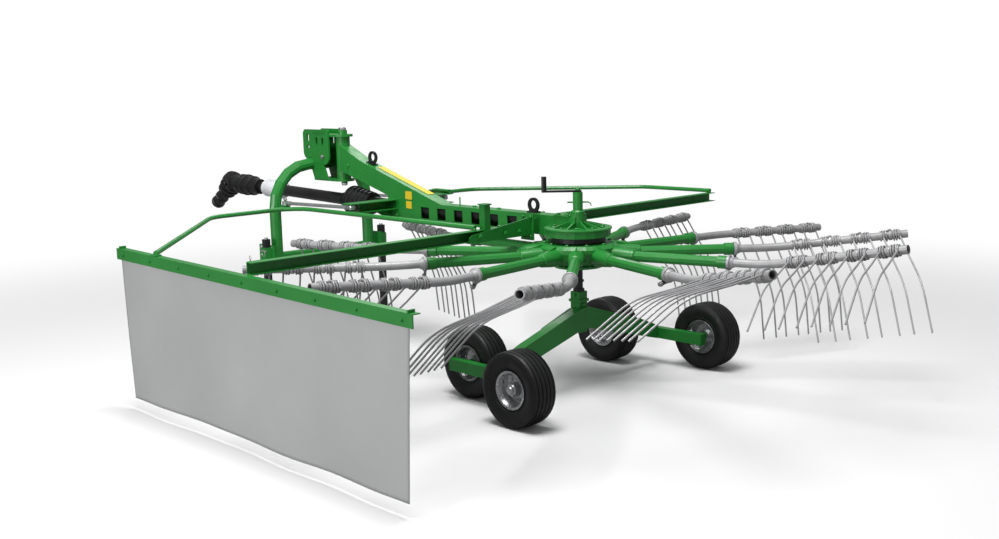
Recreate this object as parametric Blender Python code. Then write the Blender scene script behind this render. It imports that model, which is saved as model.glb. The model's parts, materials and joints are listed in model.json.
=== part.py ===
"""Single rotor hay rake for a tractor's three-point hitch, standing on its wheels and two parking stands.

Metres, +X towards the tractor, +Y to the machine's left, +Z up.
Sizes are written in the machine frame, whose origin is on the ground under the rotor's axis.
The empty "machine" moves that frame so that the world origin is the middle of the whole rake's footprint.
"""
import math

import bmesh
import bpy
from mathutils import Matrix, Vector

# ---------------------------------------------------------------- driving dimensions
FOOTPRINT_MIDDLE = Vector((0.9415, 0.0375, 0.0))   # middle of the rake's footprint in the machine frame
SEAT_GAP = 0.0003                 # gap between two pieces that rest on each other
RUNNING_GAP = 0.005               # gap between pieces that turn past each other
PIN_GAP = 0.0006                  # radial gap of a pin in its bore

# wheels and undercarriage
WHEEL_DIAMETER = 0.37
TYRE_WIDTH = 0.15
RIM_RADIUS = 0.086
HUB_RADIUS = 0.030
STUB_RADIUS = 0.018
REAR_WHEEL_X = -0.29
FRONT_WHEEL_X = 0.25
REAR_WHEEL_Y = 0.745
FRONT_WHEEL_Y = 0.52
ROCKER_Y = 0.6325
ROCKER_WIDTH = 0.045
ROCKER_HEIGHT = 0.060
ROCKER_PIVOT_X = -0.02
AXLE_THICKNESS = 0.060
AXLE_ARM_DEPTH = 0.090
COLUMN_SIDE = 0.062
COLUMN_BOTTOM = 0.31
COLUMN_TOP = 0.51
COLUMN_ROD_RADIUS = 0.022

# rotor
ARM_COUNT = 11
FIRST_ARM_ANGLE = math.radians(-66.7)
HUB_BOTTOM = 0.655
HUB_TOP = 0.772
HUB_RIM_RADIUS = 0.215
ROTOR_AXLE_RADIUS = 0.035
ARM_START = 0.15
ARM_END = 0.825
ARM_TUBE_RADIUS = 0.0275
ARM_Z = 0.714
CARRIER_RADIUS = 0.021
CARRIER_END = 1.706
CARRIER_BEND_AT = 1.03
CARRIER_BEND = math.radians(14.5)
CLAMP_RADIUS = 0.029
CLAMP_LENGTH = 0.090
CLAMP_RANGE = (1.180, 1.622)
TINES_PER_ARM = 4
PRONG_SPREAD = 0.042
PRONG_RADIUS = 0.0048
PRONG_BEND = (0.205, 0.325)       # trailing and down from the carrier, tines lowered
PRONG_END = (0.237, 0.590)
# how far each arm's cam has lifted its tines, clockwise from the first arm, in degrees
TINE_LIFT = (0, 0, 27, 48.5, 50.5, 34.5, 20, 2, 0, 0, 0)

# main beam and gearbox
BEAM_WIDTH = 0.09
BEAM_WALL = 0.006
BEAM_REAR_X = 0.30
BEAM_TOP = 0.905
BEAM_BOTTOM = 0.797
BEAM_BEND_X = 1.040
BEAM_FRONT_X = 2.020
BEAM_FRONT_TOP = 1.228
BEAM_KNEE = (1.80, 1.133)         # the slope's top line steepens here, X and Z
BEAM_FRONT_BOTTOM = 1.066
BELLY_X = 1.52
BELLY_TOP = 0.934
WINDOW_COUNT = 6
WINDOW_FIRST_X = 1.190
WINDOW_PITCH = 0.148
WINDOW_SIZE = (0.075, 0.068)
WINDOW_Z = 0.848
COVER_RADIUS = 0.172
COVER_BOTTOM = 0.808
COVER_TOP = 0.852
SEAL_RADIUS = 0.145
POST_RADIUS = 0.026
POST_TOP = 1.035
CRANK_REACH = 0.176
CRANK_ANGLE = math.radians(44.7)
GRIP_TOP = 1.118
GRIP_RADIUS = 0.014

# headstock
PIVOT_X = 2.04
PIVOT_RADIUS = 0.020
PIVOT_TUBE_RADIUS = 0.045
LUG_RADIUS = 0.065
LUG_THICKNESS = 0.015
UPPER_LUG_BOTTOM = 1.280
LOWER_LUG_TOP = 1.010
CHEEK_REAR_X = 2.10
CHEEK_FRONT_X = 2.380
CHEEK_BOTTOM = 1.150
CHEEK_TOP = 1.325
CHEEK_ROUNDING = 0.050
WEB_X = 2.285
CHEEK_SPACING = 0.120
CHEEK_THICKNESS = 0.012
ARCH_X = 2.30
ARCH_HALF_WIDTH = 0.365
ARCH_TOP = 1.10
ARCH_BOTTOM = 0.50
ARCH_BEND = 0.27
ARCH_RADIUS = 0.037
LEG_STAND_OFF = 0.022            # pad between a leg and its side plate
CROSS_TUBE_Z = 0.525
CROSS_TUBE_RADIUS = 0.022
SIDE_PLATE = (0.165, 0.012, 0.165)       # bracket at each leg's foot: along X, Y and Z
SIDE_PLATE_CENTRE = (2.315, 0.52)        # X and Z
HITCH_PIN_X = 2.365
HITCH_PIN_Z = 0.490
HITCH_PIN_RADIUS = 0.014
HITCH_PIN_LENGTH = 0.125
STAND_X = 2.275
STAND_SIDE = 0.038
STAND_SLEEVE_WALL = 0.005
STAND_SLEEVE = (0.500, 0.592)            # bottom and top
STAND_TOP = 0.645
STAND_FOOT = (0.090, 0.090, 0.008)

# stabiliser struts between the headstock and the beam
STRUT_Z = 0.866
STRUT_REAR_Z = 0.890
STRUT_FRONT = (2.245, 0.322)             # X and Y of the pin at the headstock
STRUT_REAR = (1.480, 0.362)
STRUT_RADIUS = 0.011
STRUT_EYE_RADIUS = 0.020
STRUT_EYE_HEIGHT = 0.026
STRUT_PIN_RADIUS = 0.008
STRUT_ARM_WIDTH = 0.090
STRUT_ARM_END = 0.400
STRUT_ARM_WEB_END = 0.280
STRUT_ARM_TOP = 0.916
STRUT_ARM_LOWER_TOP = 0.862
STRUT_ARM_PLATE = 0.006
STRUT_ARM_ROOT_Z = 0.802

# power take-off shaft
PTO_AXIS_START = Vector((1.53, 0.0, 0.862))
PTO_AXIS_END = Vector((3.36, 0.0, 0.915))
PTO_TUBE_RADIUS = 0.038
PTO_YOKE_DROP = math.radians(36)
PTO_THROAT_RADIUS = 0.043
PTO_BELL_START = 0.21              # these four are measured along the shaft from the beam
PTO_BELL_END = 0.42
PTO_TUBE_END = 1.22
PTO_COLLAR_END = 1.42

# swath curtain and guards
GUARD_BEAM_X = 0.282
RIGHT_BEAM_X = 0.412
RIGHT_BEAM_TOP = 0.8675
GUARD_BEAM_WIDTH = 0.048
GUARD_BEAM_HEIGHT = 0.055
GUARD_BEAM_TOP = 0.8605
GUARD_BEAM_WALL = 0.004
GUARD_BEAM_START = 0.125
GUARD_TUBE_RADIUS = 0.013
HOOP_FRONT_X = 1.93
RIGHT_GUARD_REACH = 1.76
CURTAIN_Y = 1.827
RAIL_FRONT = (1.457, 0.822)              # X and top Z
RAIL_REAR = (-0.863, 0.789)
RAIL_DEPTH = 0.055
RAIL_WIDTH = 0.038
RAIL_WALL = 0.004
CURTAIN_THICKNESS = 0.010
CURTAIN_BOTTOM = 0.050
CURTAIN_TOP_X = (-0.835, 1.425)
CURTAIN_BOTTOM_X = (-0.805, 1.390)
SLEEVE_END = 0.545
SLEEVE_WALL = 0.005
SLEEVE_SIDE_GAP = 0.005
GUARD_HINGE_Y = -0.125
GUARD_HINGE_Z = 0.880
GUARD_HINGE_PIN = 0.008
POST_Y = 0.404
POST_SIDE = 0.040
POST_HEIGHT = 0.125

# ---------------------------------------------------------------- materials: colour, roughness, metallic
PAINTS = {
    "green_paint": ((0.03, 0.30, 0.05), 0.35, 0.1),
    "black_paint": ((0.02, 0.02, 0.02), 0.45, 0.1),
    "zinc": ((0.55, 0.57, 0.58), 0.4, 0.9),
    "grey_paint": ((0.45, 0.45, 0.46), 0.45, 0.3),
    "rubber": ((0.02, 0.02, 0.02), 0.75, 0.0),
    "black_plastic": ((0.015, 0.015, 0.016), 0.5, 0.0),
    "pale_plastic": ((0.70, 0.70, 0.72), 0.5, 0.0),
    "canvas": ((0.50, 0.50, 0.51), 0.8, 0.0),
}


def material(name):
    """The Principled material of that name, made on first use."""
    if name in bpy.data.materials:
        return bpy.data.materials[name]
    colour, roughness, metallic = PAINTS[name]
    made = bpy.data.materials.new(name)
    made.use_nodes = True
    shader = made.node_tree.nodes["Principled BSDF"]
    shader.inputs["Base Color"].default_value = (*colour, 1.0)
    shader.inputs["Roughness"].default_value = roughness
    shader.inputs["Metallic"].default_value = metallic
    return made


# ---------------------------------------------------------------- building blocks, all in the machine frame
def block(low, high):
    """A box between two corners."""
    bm = bmesh.new()
    bmesh.ops.create_cube(bm, size=1.0)
    low, high = Vector(low), Vector(high)
    middle = (low + high) / 2
    span = high - low
    for vert in bm.verts:
        vert.co = Vector(vert.co[i] * span[i] + middle[i] for i in range(3))
    return bm


def prism(outline, start, end, axis):
    """A closed outline of (u, v) points extruded along axis from start to end.

    (u, v) are the other two axes in the order XY, XZ or YZ.
    """
    bm = bmesh.new()
    others = [i for i in range(3) if i != axis]

    def corner(point, along):
        co = [0.0, 0.0, 0.0]
        co[axis] = along
        co[others[0]], co[others[1]] = point
        return bm.verts.new(co)

    face = bm.faces.new([corner(point, start) for point in outline])
    grown = bmesh.ops.extrude_face_region(bm, geom=[face])
    moved = [item for item in grown["geom"] if isinstance(item, bmesh.types.BMVert)]
    shift = Vector((0, 0, 0))
    shift[axis] = end - start
    bmesh.ops.translate(bm, verts=moved, vec=shift)
    bmesh.ops.recalc_face_normals(bm, faces=bm.faces)
    return bm


def rod(start, end, radius, sides=16, end_radius=None):
    """A round bar or cone between two points."""
    start, end = Vector(start), Vector(end)
    along = end - start
    bm = bmesh.new()
    bmesh.ops.create_cone(bm, cap_ends=True, segments=sides, radius1=radius,
                          radius2=radius if end_radius is None else end_radius, depth=along.length)
    turn = Vector((0, 0, 1)).rotation_difference(along).to_matrix().to_4x4()
    bmesh.ops.transform(bm, verts=bm.verts, matrix=Matrix.Translation((start + end) / 2) @ turn)
    return bm


def turned(profile, centre, axis, sides):
    """A closed profile of (radius, along) points spun about an axis through centre."""
    centre, axis = Vector(centre), Vector(axis).normalized()
    side = axis.orthogonal().normalized()
    bm = bmesh.new()
    verts = [bm.verts.new(centre + side * r + axis * a) for r, a in profile]
    edges = [bm.edges.new((verts[i], verts[(i + 1) % len(verts)])) for i in range(len(verts))]
    bmesh.ops.spin(bm, geom=verts + edges, cent=centre, axis=axis, angle=math.tau, steps=sides,
                   use_merge=True)
    bmesh.ops.remove_doubles(bm, verts=bm.verts, dist=1e-6)
    bmesh.ops.recalc_face_normals(bm, faces=bm.faces)
    return bm


def swept(points, radius, sides):
    """A round tube along a line of points, closed at both ends."""
    points = [Vector(p) for p in points]
    bm = bmesh.new()
    tangent = (points[1] - points[0]).normalized()
    side = tangent.orthogonal().normalized()
    rings = []
    for i, point in enumerate(points):
        before = points[max(i - 1, 0)]
        after = points[min(i + 1, len(points) - 1)]
        new_tangent = (after - before).normalized()
        side = (tangent.rotation_difference(new_tangent) @ side).normalized()
        tangent = new_tangent
        up = tangent.cross(side)
        stretch = 1.0
        if 0 < i < len(points) - 1:
            half_turn = (point - before).angle(after - point) / 2
            stretch = 1 / math.cos(half_turn)
            bend_out = ((point - before).normalized() - (after - point).normalized())
        ring = []
        for k in range(sides):
            angle = math.tau * k / sides
            reach = side * math.cos(angle) + up * math.sin(angle)
            if stretch > 1.0001:
                out = bend_out.normalized()
                reach += out * reach.dot(out) * (stretch - 1)
            ring.append(bm.verts.new(point + reach * radius))
        rings.append(ring)
    for ring_a, ring_b in zip(rings, rings[1:]):
        for k in range(sides):
            n = (k + 1) % sides
            bm.faces.new((ring_a[k], ring_a[n], ring_b[n], ring_b[k]))
    bm.faces.new(rings[0])
    bm.faces.new(rings[-1])
    bmesh.ops.recalc_face_normals(bm, faces=bm.faces)
    return bm


def rounded(corners, bend_radius, steps):
    """The points of a bent tube's centre line: straight runs joined by arcs at the inner corners."""
    corners = [Vector(c) for c in corners]
    points = [corners[0]]
    for before, corner, after in zip(corners, corners[1:], corners[2:]):
        into = (corner - before).normalized()
        out = (after - corner).normalized()
        half = into.angle(out) / 2
        run = bend_radius * math.tan(half)
        centre = corner + (out - into).normalized() * bend_radius / math.cos(half)
        first = corner - into * run - centre
        axis = into.cross(out).normalized()
        for k in range(steps + 1):
            points.append(centre + Matrix.Rotation(2 * half * k / steps, 3, axis) @ first)
    points.append(corners[-1])
    return points


def joined(parts):
    """Several meshes in one bmesh, left as separate shells."""
    whole = parts[0]
    for part in parts[1:]:
        scratch = bpy.data.meshes.new("scratch")
        part.to_mesh(scratch)
        part.free()
        whole.from_mesh(scratch)
        bpy.data.meshes.remove(scratch)
    return whole


def mirrored(bm):
    """A copy of a left-hand mesh for the right-hand side."""
    copy = bm.copy()
    for vert in copy.verts:
        vert.co.y = -vert.co.y
    bmesh.ops.reverse_faces(copy, faces=copy.faces)
    return copy


def mesh_of(name, bm):
    """Puts a bmesh into a new mesh."""
    mesh = bpy.data.meshes.new(name)
    bm.to_mesh(mesh)
    bm.free()
    return mesh


def combined(base, added=(), removed=()):
    """Boolean union and difference of closed meshes, as a bmesh."""
    carrier = bpy.data.objects.new("working", mesh_of("working", base))
    bpy.context.scene.collection.objects.link(carrier)
    tools = []
    steps = [("UNION", bm) for bm in added] + [("DIFFERENCE", bm) for bm in removed]
    for operation, bm in steps:
        tool = bpy.data.objects.new("tool", mesh_of("tool", bm))
        bpy.context.scene.collection.objects.link(tool)
        cut = carrier.modifiers.new(operation.lower(), "BOOLEAN")
        cut.operation = operation
        cut.solver = "EXACT"
        cut.object = tool
        tools.append(tool)
    evaluated = carrier.evaluated_get(bpy.context.evaluated_depsgraph_get())
    result = bmesh.new()
    result.from_mesh(evaluated.to_mesh())
    for item in tools + [carrier]:
        mesh = item.data
        bpy.data.objects.remove(item)
        bpy.data.meshes.remove(mesh)
    bmesh.ops.dissolve_limit(result, angle_limit=math.radians(0.5), verts=result.verts, edges=result.edges)
    bmesh.ops.remove_doubles(result, verts=result.verts, dist=2e-5)
    return result


def node(name, bm, paint, body, smooth=True):
    """Makes the named piece of a body; its origin is the body's joint axis."""
    origin = BODY_ORIGINS[body]
    bmesh.ops.translate(bm, verts=bm.verts, vec=-origin)
    mesh = mesh_of(name, bm)
    mesh.materials.append(material(paint))
    if smooth:
        mesh.shade_smooth()
        mesh.set_sharp_from_angle(angle=math.radians(35))
    piece = bpy.data.objects.new(name, mesh)
    bpy.context.scene.collection.objects.link(piece)
    piece.parent = bpy.data.objects["body_" + body]
    return piece


SIDES = (("left", 1), ("right", -1))
WHEEL_Z = WHEEL_DIAMETER / 2
WHEELS = {                        # name: X, Y
    "rear_left": (REAR_WHEEL_X, REAR_WHEEL_Y),
    "front_left": (FRONT_WHEEL_X, FRONT_WHEEL_Y),
    "front_right": (FRONT_WHEEL_X, -FRONT_WHEEL_Y),
    "rear_right": (REAR_WHEEL_X, -REAR_WHEEL_Y),
}
SIDE_PLATE_Y = ARCH_HALF_WIDTH + ARCH_RADIUS + LEG_STAND_OFF
STAND_SLEEVE_SIDE = STAND_SIDE + 2 * (PIN_GAP + STAND_SLEEVE_WALL)
STAND_Y = SIDE_PLATE_Y + SIDE_PLATE[1] + STAND_SLEEVE_SIDE / 2
BODY_ORIGINS = {
    "frame": Vector((0, 0, 0)),
    "rotor": Vector((0, 0, ARM_Z)),
    "headstock": Vector((PIVOT_X, 0, LOWER_LUG_TOP)),
    "curtain": Vector((GUARD_BEAM_X, GUARD_BEAM_START, GUARD_BEAM_TOP - GUARD_BEAM_HEIGHT / 2)),
    "right_guard": Vector((RIGHT_BEAM_X, GUARD_HINGE_Y, GUARD_HINGE_Z)),
}
for wheel_name, (wheel_x, wheel_y) in WHEELS.items():
    BODY_ORIGINS["wheel_" + wheel_name] = Vector((wheel_x, wheel_y, WHEEL_Z))
for side_name, side in SIDES:
    BODY_ORIGINS["stand_" + side_name] = Vector((STAND_X, side * STAND_Y, STAND_SLEEVE[0]))
    BODY_ORIGINS["strut_" + side_name] = Vector((STRUT_FRONT[0], side * STRUT_FRONT[1], STRUT_Z))


def make_bodies():
    """One empty for each moving body, on its joint's axis."""
    machine = bpy.data.objects.new("machine", None)
    bpy.context.scene.collection.objects.link(machine)
    machine.location = -FOOTPRINT_MIDDLE
    for name, origin in BODY_ORIGINS.items():
        empty = bpy.data.objects.new("body_" + name, None)
        bpy.context.scene.collection.objects.link(empty)
        empty.parent = machine
        empty.location = origin


# ---------------------------------------------------------------- wheels and undercarriage
def make_wheels():
    """Four pneumatic wheels; the rear pair runs outside its rocker, the front pair inside."""
    half = TYRE_WIDTH / 2
    tread = WHEEL_DIAMETER / 2
    bead = RIM_RADIUS + SEAT_GAP
    tyre_profile = (
        (bead, -half * 0.62), (tread * 0.66, -half * 0.86), (tread * 0.82, -half), (tread * 0.94, -half * 0.88),
        (tread * 0.99, -half * 0.55), (tread, 0.0), (tread * 0.99, half * 0.55),
        (tread * 0.94, half * 0.88), (tread * 0.82, half), (tread * 0.66, half * 0.86), (bead, half * 0.62))
    disc = 0.004
    bore = STUB_RADIUS + PIN_GAP
    for name, (x, y) in WHEELS.items():
        outward = 1 if y > 0 else -1
        if name.startswith("front"):
            outward = -outward
        hub_profile = (
            (bore, -0.030), (HUB_RADIUS, -0.030), (HUB_RADIUS, -0.008), (0.062, -0.004), (0.074, -half * 0.66),
            (RIM_RADIUS, -half * 0.66), (RIM_RADIUS, half * 0.66), (0.074, half * 0.66), (0.068, 0.010),
            (0.062, 0.008 + disc), (HUB_RADIUS, 0.006 + disc), (HUB_RADIUS, 0.052), (bore, 0.052))
        centre = (x, y, WHEEL_Z)
        node("tyre_" + name, turned(tyre_profile, centre, (0, outward, 0), 28), "rubber", "wheel_" + name)
        node("rim_" + name, turned(hub_profile, centre, (0, outward, 0), 28), "zinc", "wheel_" + name)


def make_rockers():
    """The fore-and-aft beams that carry a rear wheel outside and a front wheel inside."""
    half = ROCKER_WIDTH / 2
    low = WHEEL_Z - ROCKER_HEIGHT / 2
    high = WHEEL_Z + ROCKER_HEIGHT / 2
    overhang = 0.055
    beam = block((REAR_WHEEL_X - overhang, ROCKER_Y - half, low), (FRONT_WHEEL_X + overhang, ROCKER_Y + half, high))
    rear_stub = rod((REAR_WHEEL_X, ROCKER_Y, WHEEL_Z), (REAR_WHEEL_X, REAR_WHEEL_Y + 0.050, WHEEL_Z), STUB_RADIUS)
    front_stub = rod((FRONT_WHEEL_X, ROCKER_Y, WHEEL_Z), (FRONT_WHEEL_X, FRONT_WHEEL_Y - 0.050, WHEEL_Z), STUB_RADIUS)
    left = combined(beam, added=(rear_stub, front_stub))
    right = mirrored(left)
    node("rocker_left", left, "green_paint", "frame")
    node("rocker_right", right, "green_paint", "frame")


def make_axle():
    """The arched cross axle, its square column and the rod that carries the gearbox."""
    end_y = ROCKER_Y - ROCKER_WIDTH / 2 - SEAT_GAP
    low_end = WHEEL_Z - AXLE_ARM_DEPTH * 0.35
    half_column = COLUMN_SIDE / 2
    outline = (
        (-end_y, low_end), (-0.42, 0.205), (-half_column, COLUMN_BOTTOM), (half_column, COLUMN_BOTTOM),
        (0.42, 0.205), (end_y, low_end), (end_y, low_end + AXLE_ARM_DEPTH * 0.85), (0.45, 0.295),
        (half_column, 0.425), (-half_column, 0.425), (-0.45, 0.295), (-end_y, low_end + AXLE_ARM_DEPTH * 0.85))
    arms = prism(outline, ROCKER_PIVOT_X - AXLE_THICKNESS / 2, ROCKER_PIVOT_X + AXLE_THICKNESS / 2, 0)
    column = block((-half_column, -half_column, COLUMN_BOTTOM - 0.02), (half_column, half_column, COLUMN_TOP))
    node("cross_axle", combined(arms, added=(column,)), "green_paint", "frame")
    rod_top = HUB_BOTTOM - 0.025
    node("column_rod", rod((0, 0, COLUMN_TOP + SEAT_GAP), (0, 0, rod_top), COLUMN_ROD_RADIUS), "black_paint", "frame")
    axle_top = COVER_BOTTOM - 0.028
    node("rotor_axle", rod((0, 0, rod_top + SEAT_GAP), (0, 0, axle_top), ROTOR_AXLE_RADIUS, 20), "zinc", "frame")
    node("seal_ring", rod((0, 0, axle_top + SEAT_GAP), (0, 0, COVER_BOTTOM - SEAT_GAP), SEAL_RADIUS, 32),
         "black_plastic", "frame")


# ---------------------------------------------------------------- rotor
def arm_angle(index):
    """The arms are numbered clockwise, seen from above."""
    return FIRST_ARM_ANGLE - index * math.tau / ARM_COUNT


def make_rotor_hub():
    """The dished hub with its ring of tubes that the tine arms turn in."""
    bore = ROTOR_AXLE_RADIUS + PIN_GAP
    profile = (
        (bore, HUB_BOTTOM), (0.11, HUB_BOTTOM), (0.17, 0.672), (0.205, 0.705), (HUB_RIM_RADIUS, 0.735),
        (HUB_RIM_RADIUS, 0.755), (0.195, HUB_TOP), (bore, HUB_TOP))
    dish = turned(profile, (0, 0, 0), (0, 0, 1), 33)
    tubes = []
    for index in range(ARM_COUNT):
        out = Vector((math.cos(arm_angle(index)), math.sin(arm_angle(index)), 0))
        level = Vector((0, 0, ARM_Z))
        tubes.append(rod(out * ARM_START + level, out * ARM_END + level, ARM_TUBE_RADIUS, 10))
    node("rotor_hub", combined(dish, added=(joined(tubes),)), "green_paint", "rotor")


def carrier_path():
    """Centre line of a tine carrier: straight, then bent back. (outward, trailing)"""
    start = ARM_END + SEAT_GAP
    corners = [(start, 0, 0), (CARRIER_BEND_AT, 0, 0)]
    run = CARRIER_END - CARRIER_BEND_AT
    corners.append((CARRIER_END, run * math.tan(CARRIER_BEND), 0))
    return rounded(corners, 0.45, 3)


def carrier_offset(outward):
    """How far the bent carrier trails at a distance from the rotor's axis."""
    return max(0.0, (outward - CARRIER_BEND_AT) * math.tan(CARRIER_BEND))


def prong_line():
    """A prong's centre line in its own plane, with the bend cut into three: (trailing, down)."""
    bend, end = Vector(PRONG_BEND), Vector(PRONG_END)
    before = bend * 0.84
    after = bend + (end - bend) * 0.20
    middle = (before + after + bend * 2) / 4
    return [(0, 0), before, middle, after, end]


def tine_carrier():
    """One carrier with its tines, outward along X, trailing along Y, down along -Z."""
    tube = swept(carrier_path(), CARRIER_RADIUS, 8)
    flange_start = ARM_END + SEAT_GAP
    flange = rod((flange_start, 0, 0), (flange_start + 0.016, 0, 0), ARM_TUBE_RADIUS + 0.010, 12)
    first, last = CLAMP_RANGE
    clamps, prongs = [], []
    direction = Vector((math.cos(CARRIER_BEND), math.sin(CARRIER_BEND), 0))
    for index in range(TINES_PER_ARM):
        out = first + (last - first) * index / (TINES_PER_ARM - 1)
        centre = Vector((out, carrier_offset(out), 0))
        clamps.append(rod(centre - direction * CLAMP_LENGTH / 2, centre + direction * CLAMP_LENGTH / 2,
                          CLAMP_RADIUS, 8))
        for spread in (-PRONG_SPREAD, PRONG_SPREAD):
            foot = centre + direction * spread
            line = prong_line()
            prongs.append(swept([foot + Vector((0, trail, -drop)) for trail, drop in line], PRONG_RADIUS, 4))
    return combined(tube, added=(flange, joined(clamps), joined(prongs)))


def make_tine_arms():
    """All carriers; each is turned about its own arm by the cam's lift at its place."""
    pattern = tine_carrier()
    for index, lift in enumerate(TINE_LIFT):
        bm = pattern.copy()
        for vert in bm.verts:
            vert.co.y = -vert.co.y            # a rotor that turns anticlockwise trails clockwise
        bmesh.ops.reverse_faces(bm, faces=bm.faces)
        place = (Matrix.Translation((0, 0, ARM_Z))
                 @ Matrix.Rotation(arm_angle(index), 4, "Z")
                 @ Matrix.Rotation(-math.radians(lift), 4, "X"))
        bmesh.ops.transform(bm, verts=bm.verts, matrix=place)
        node(f"tine_arm_{index + 1:02d}", bm, "grey_paint", "rotor")
    pattern.free()


# ---------------------------------------------------------------- main beam and gearbox
def inset_outline(outline, depth):
    """An outline moved inwards by depth; its points run clockwise or anticlockwise."""
    area = sum(a[0] * b[1] - b[0] * a[1] for a, b in zip(outline, outline[1:] + outline[:1]))
    turn = 1 if area > 0 else -1
    moved = []
    for index, corner in enumerate(outline):
        before = Vector(outline[index - 1])
        after = Vector(outline[(index + 1) % len(outline)])
        here = Vector(corner)
        into = (here - before).normalized()
        out = (after - here).normalized()
        normal_in = Vector((-into.y, into.x)) * turn
        normal_out = Vector((-out.y, out.x)) * turn
        mitre = (normal_in + normal_out).normalized()
        moved.append(tuple(here + mitre * depth / mitre.dot(normal_in)))
    return moved


def make_main_beam():
    """The hollow box beam: level over the rotor, then rising to the headstock's pivot."""
    outline = [
        (BEAM_REAR_X, BEAM_BOTTOM), (BELLY_X, BEAM_BOTTOM), (BELLY_X + 0.02, BELLY_TOP),
        (BEAM_FRONT_X, BEAM_FRONT_BOTTOM), (BEAM_FRONT_X, BEAM_FRONT_TOP), BEAM_KNEE, (BEAM_BEND_X, BEAM_TOP),
        (BEAM_REAR_X, BEAM_TOP)]
    half = BEAM_WIDTH / 2
    outer = prism(outline, -half, half, 1)
    inner_outline = inset_outline(outline, BEAM_WALL)
    inner_outline[0] = (BEAM_REAR_X - 0.05, BEAM_BOTTOM + BEAM_WALL)
    inner_outline[-1] = (BEAM_REAR_X - 0.05, BEAM_TOP - BEAM_WALL)
    inner = prism(inner_outline, -half + BEAM_WALL, half - BEAM_WALL, 1)
    windows = []
    for index in range(WINDOW_COUNT):
        x = WINDOW_FIRST_X - index * WINDOW_PITCH
        windows.append(block((x - WINDOW_SIZE[0] / 2, -half - 0.01, WINDOW_Z - WINDOW_SIZE[1] / 2),
                             (x + WINDOW_SIZE[0] / 2, half + 0.01, WINDOW_Z + WINDOW_SIZE[1] / 2)))
    low = LOWER_LUG_TOP + SEAT_GAP
    high = UPPER_LUG_BOTTOM - SEAT_GAP
    pivot_tube = rod((PIVOT_X, 0, low), (PIVOT_X, 0, high), PIVOT_TUBE_RADIUS, 24)
    bore = rod((PIVOT_X, 0, low - 0.01), (PIVOT_X, 0, high + 0.01), PIVOT_RADIUS + PIN_GAP, 16)
    input_hole = rod(PTO_AXIS_START - Vector((0.05, 0, 0)), PTO_AXIS_START + Vector((0.05, 0, 0)), 0.030, 16)
    beam = combined(outer, removed=(inner, joined(windows)))
    beam = combined(beam, added=(pivot_tube,), removed=(bore, input_hole))
    node("main_beam", beam, "green_paint", "frame", smooth=False)


def make_drive_shaft():
    """The shaft inside the level part of the beam, from the input to the gearbox."""
    start = Vector((BEAM_REAR_X - 0.03, 0, PTO_AXIS_START.z))
    shaft = rod(start, PTO_AXIS_START + Vector((0.06, 0, 0)), 0.020, 12)
    node("drive_shaft", shaft, "zinc", "frame")


def make_gearbox():
    """The fixed housing over the rotor: round cover, neck to the beam and boss for the post."""
    cover = rod((0, 0, COVER_BOTTOM), (0, 0, COVER_TOP), COVER_RADIUS, 20)
    half = BEAM_WIDTH / 2
    neck_end = BEAM_REAR_X - SEAT_GAP
    neck = block((-0.02, -half, COVER_TOP - 0.01), (neck_end, half, BEAM_TOP))
    throat = block((COVER_RADIUS - 0.05, -half, BEAM_BOTTOM), (neck_end, half, COVER_TOP))
    boss = rod((0, 0, COVER_TOP), (0, 0, BEAM_TOP + 0.018), 0.042, 16)
    shaft_room = rod((BEAM_REAR_X - 0.045, 0, PTO_AXIS_START.z), (BEAM_REAR_X + 0.01, 0, PTO_AXIS_START.z),
                     0.020 + PIN_GAP, 12)
    skirt_room = rod((0, 0, BEAM_BOTTOM - 0.01), (0, 0, COVER_BOTTOM), COVER_RADIUS, 20)
    housing = combined(cover, added=(neck, throat, boss), removed=(shaft_room, skirt_room))
    node("gearbox_housing", housing, "green_paint", "frame")
    base = BEAM_TOP + 0.018 + SEAT_GAP
    post = rod((0, 0, base), (0, 0, POST_TOP), POST_RADIUS, 20)
    reach = Vector((math.cos(CRANK_ANGLE), math.sin(CRANK_ANGLE), 0))
    pin_height = Vector((0, 0, 0.982))
    pin = rod(pin_height - reach * 0.055, pin_height + reach * 0.055, 0.004, 8)
    node("adjuster_post", combined(post, added=(pin,)), "green_paint", "frame")
    low = Vector((0, 0, POST_TOP + SEAT_GAP))
    across = Vector((-reach.y, reach.x, 0)) * 0.012
    lift = Vector((0, 0, 0.010))
    arm = prism([(-0.02, -0.012), (CRANK_REACH + 0.012, -0.012), (CRANK_REACH + 0.012, 0.012), (-0.02, 0.012)],
                low.z, (low + lift).z, 2)
    bmesh.ops.rotate(arm, verts=arm.verts, cent=(0, 0, 0), matrix=Matrix.Rotation(CRANK_ANGLE, 3, "Z"))
    knob = reach * CRANK_REACH
    grip = rod((knob.x, knob.y, low.z + 0.005), (knob.x, knob.y, GRIP_TOP), GRIP_RADIUS, 12)
    node("crank_handle", combined(arm, added=(grip,)), "black_plastic", "frame")


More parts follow.
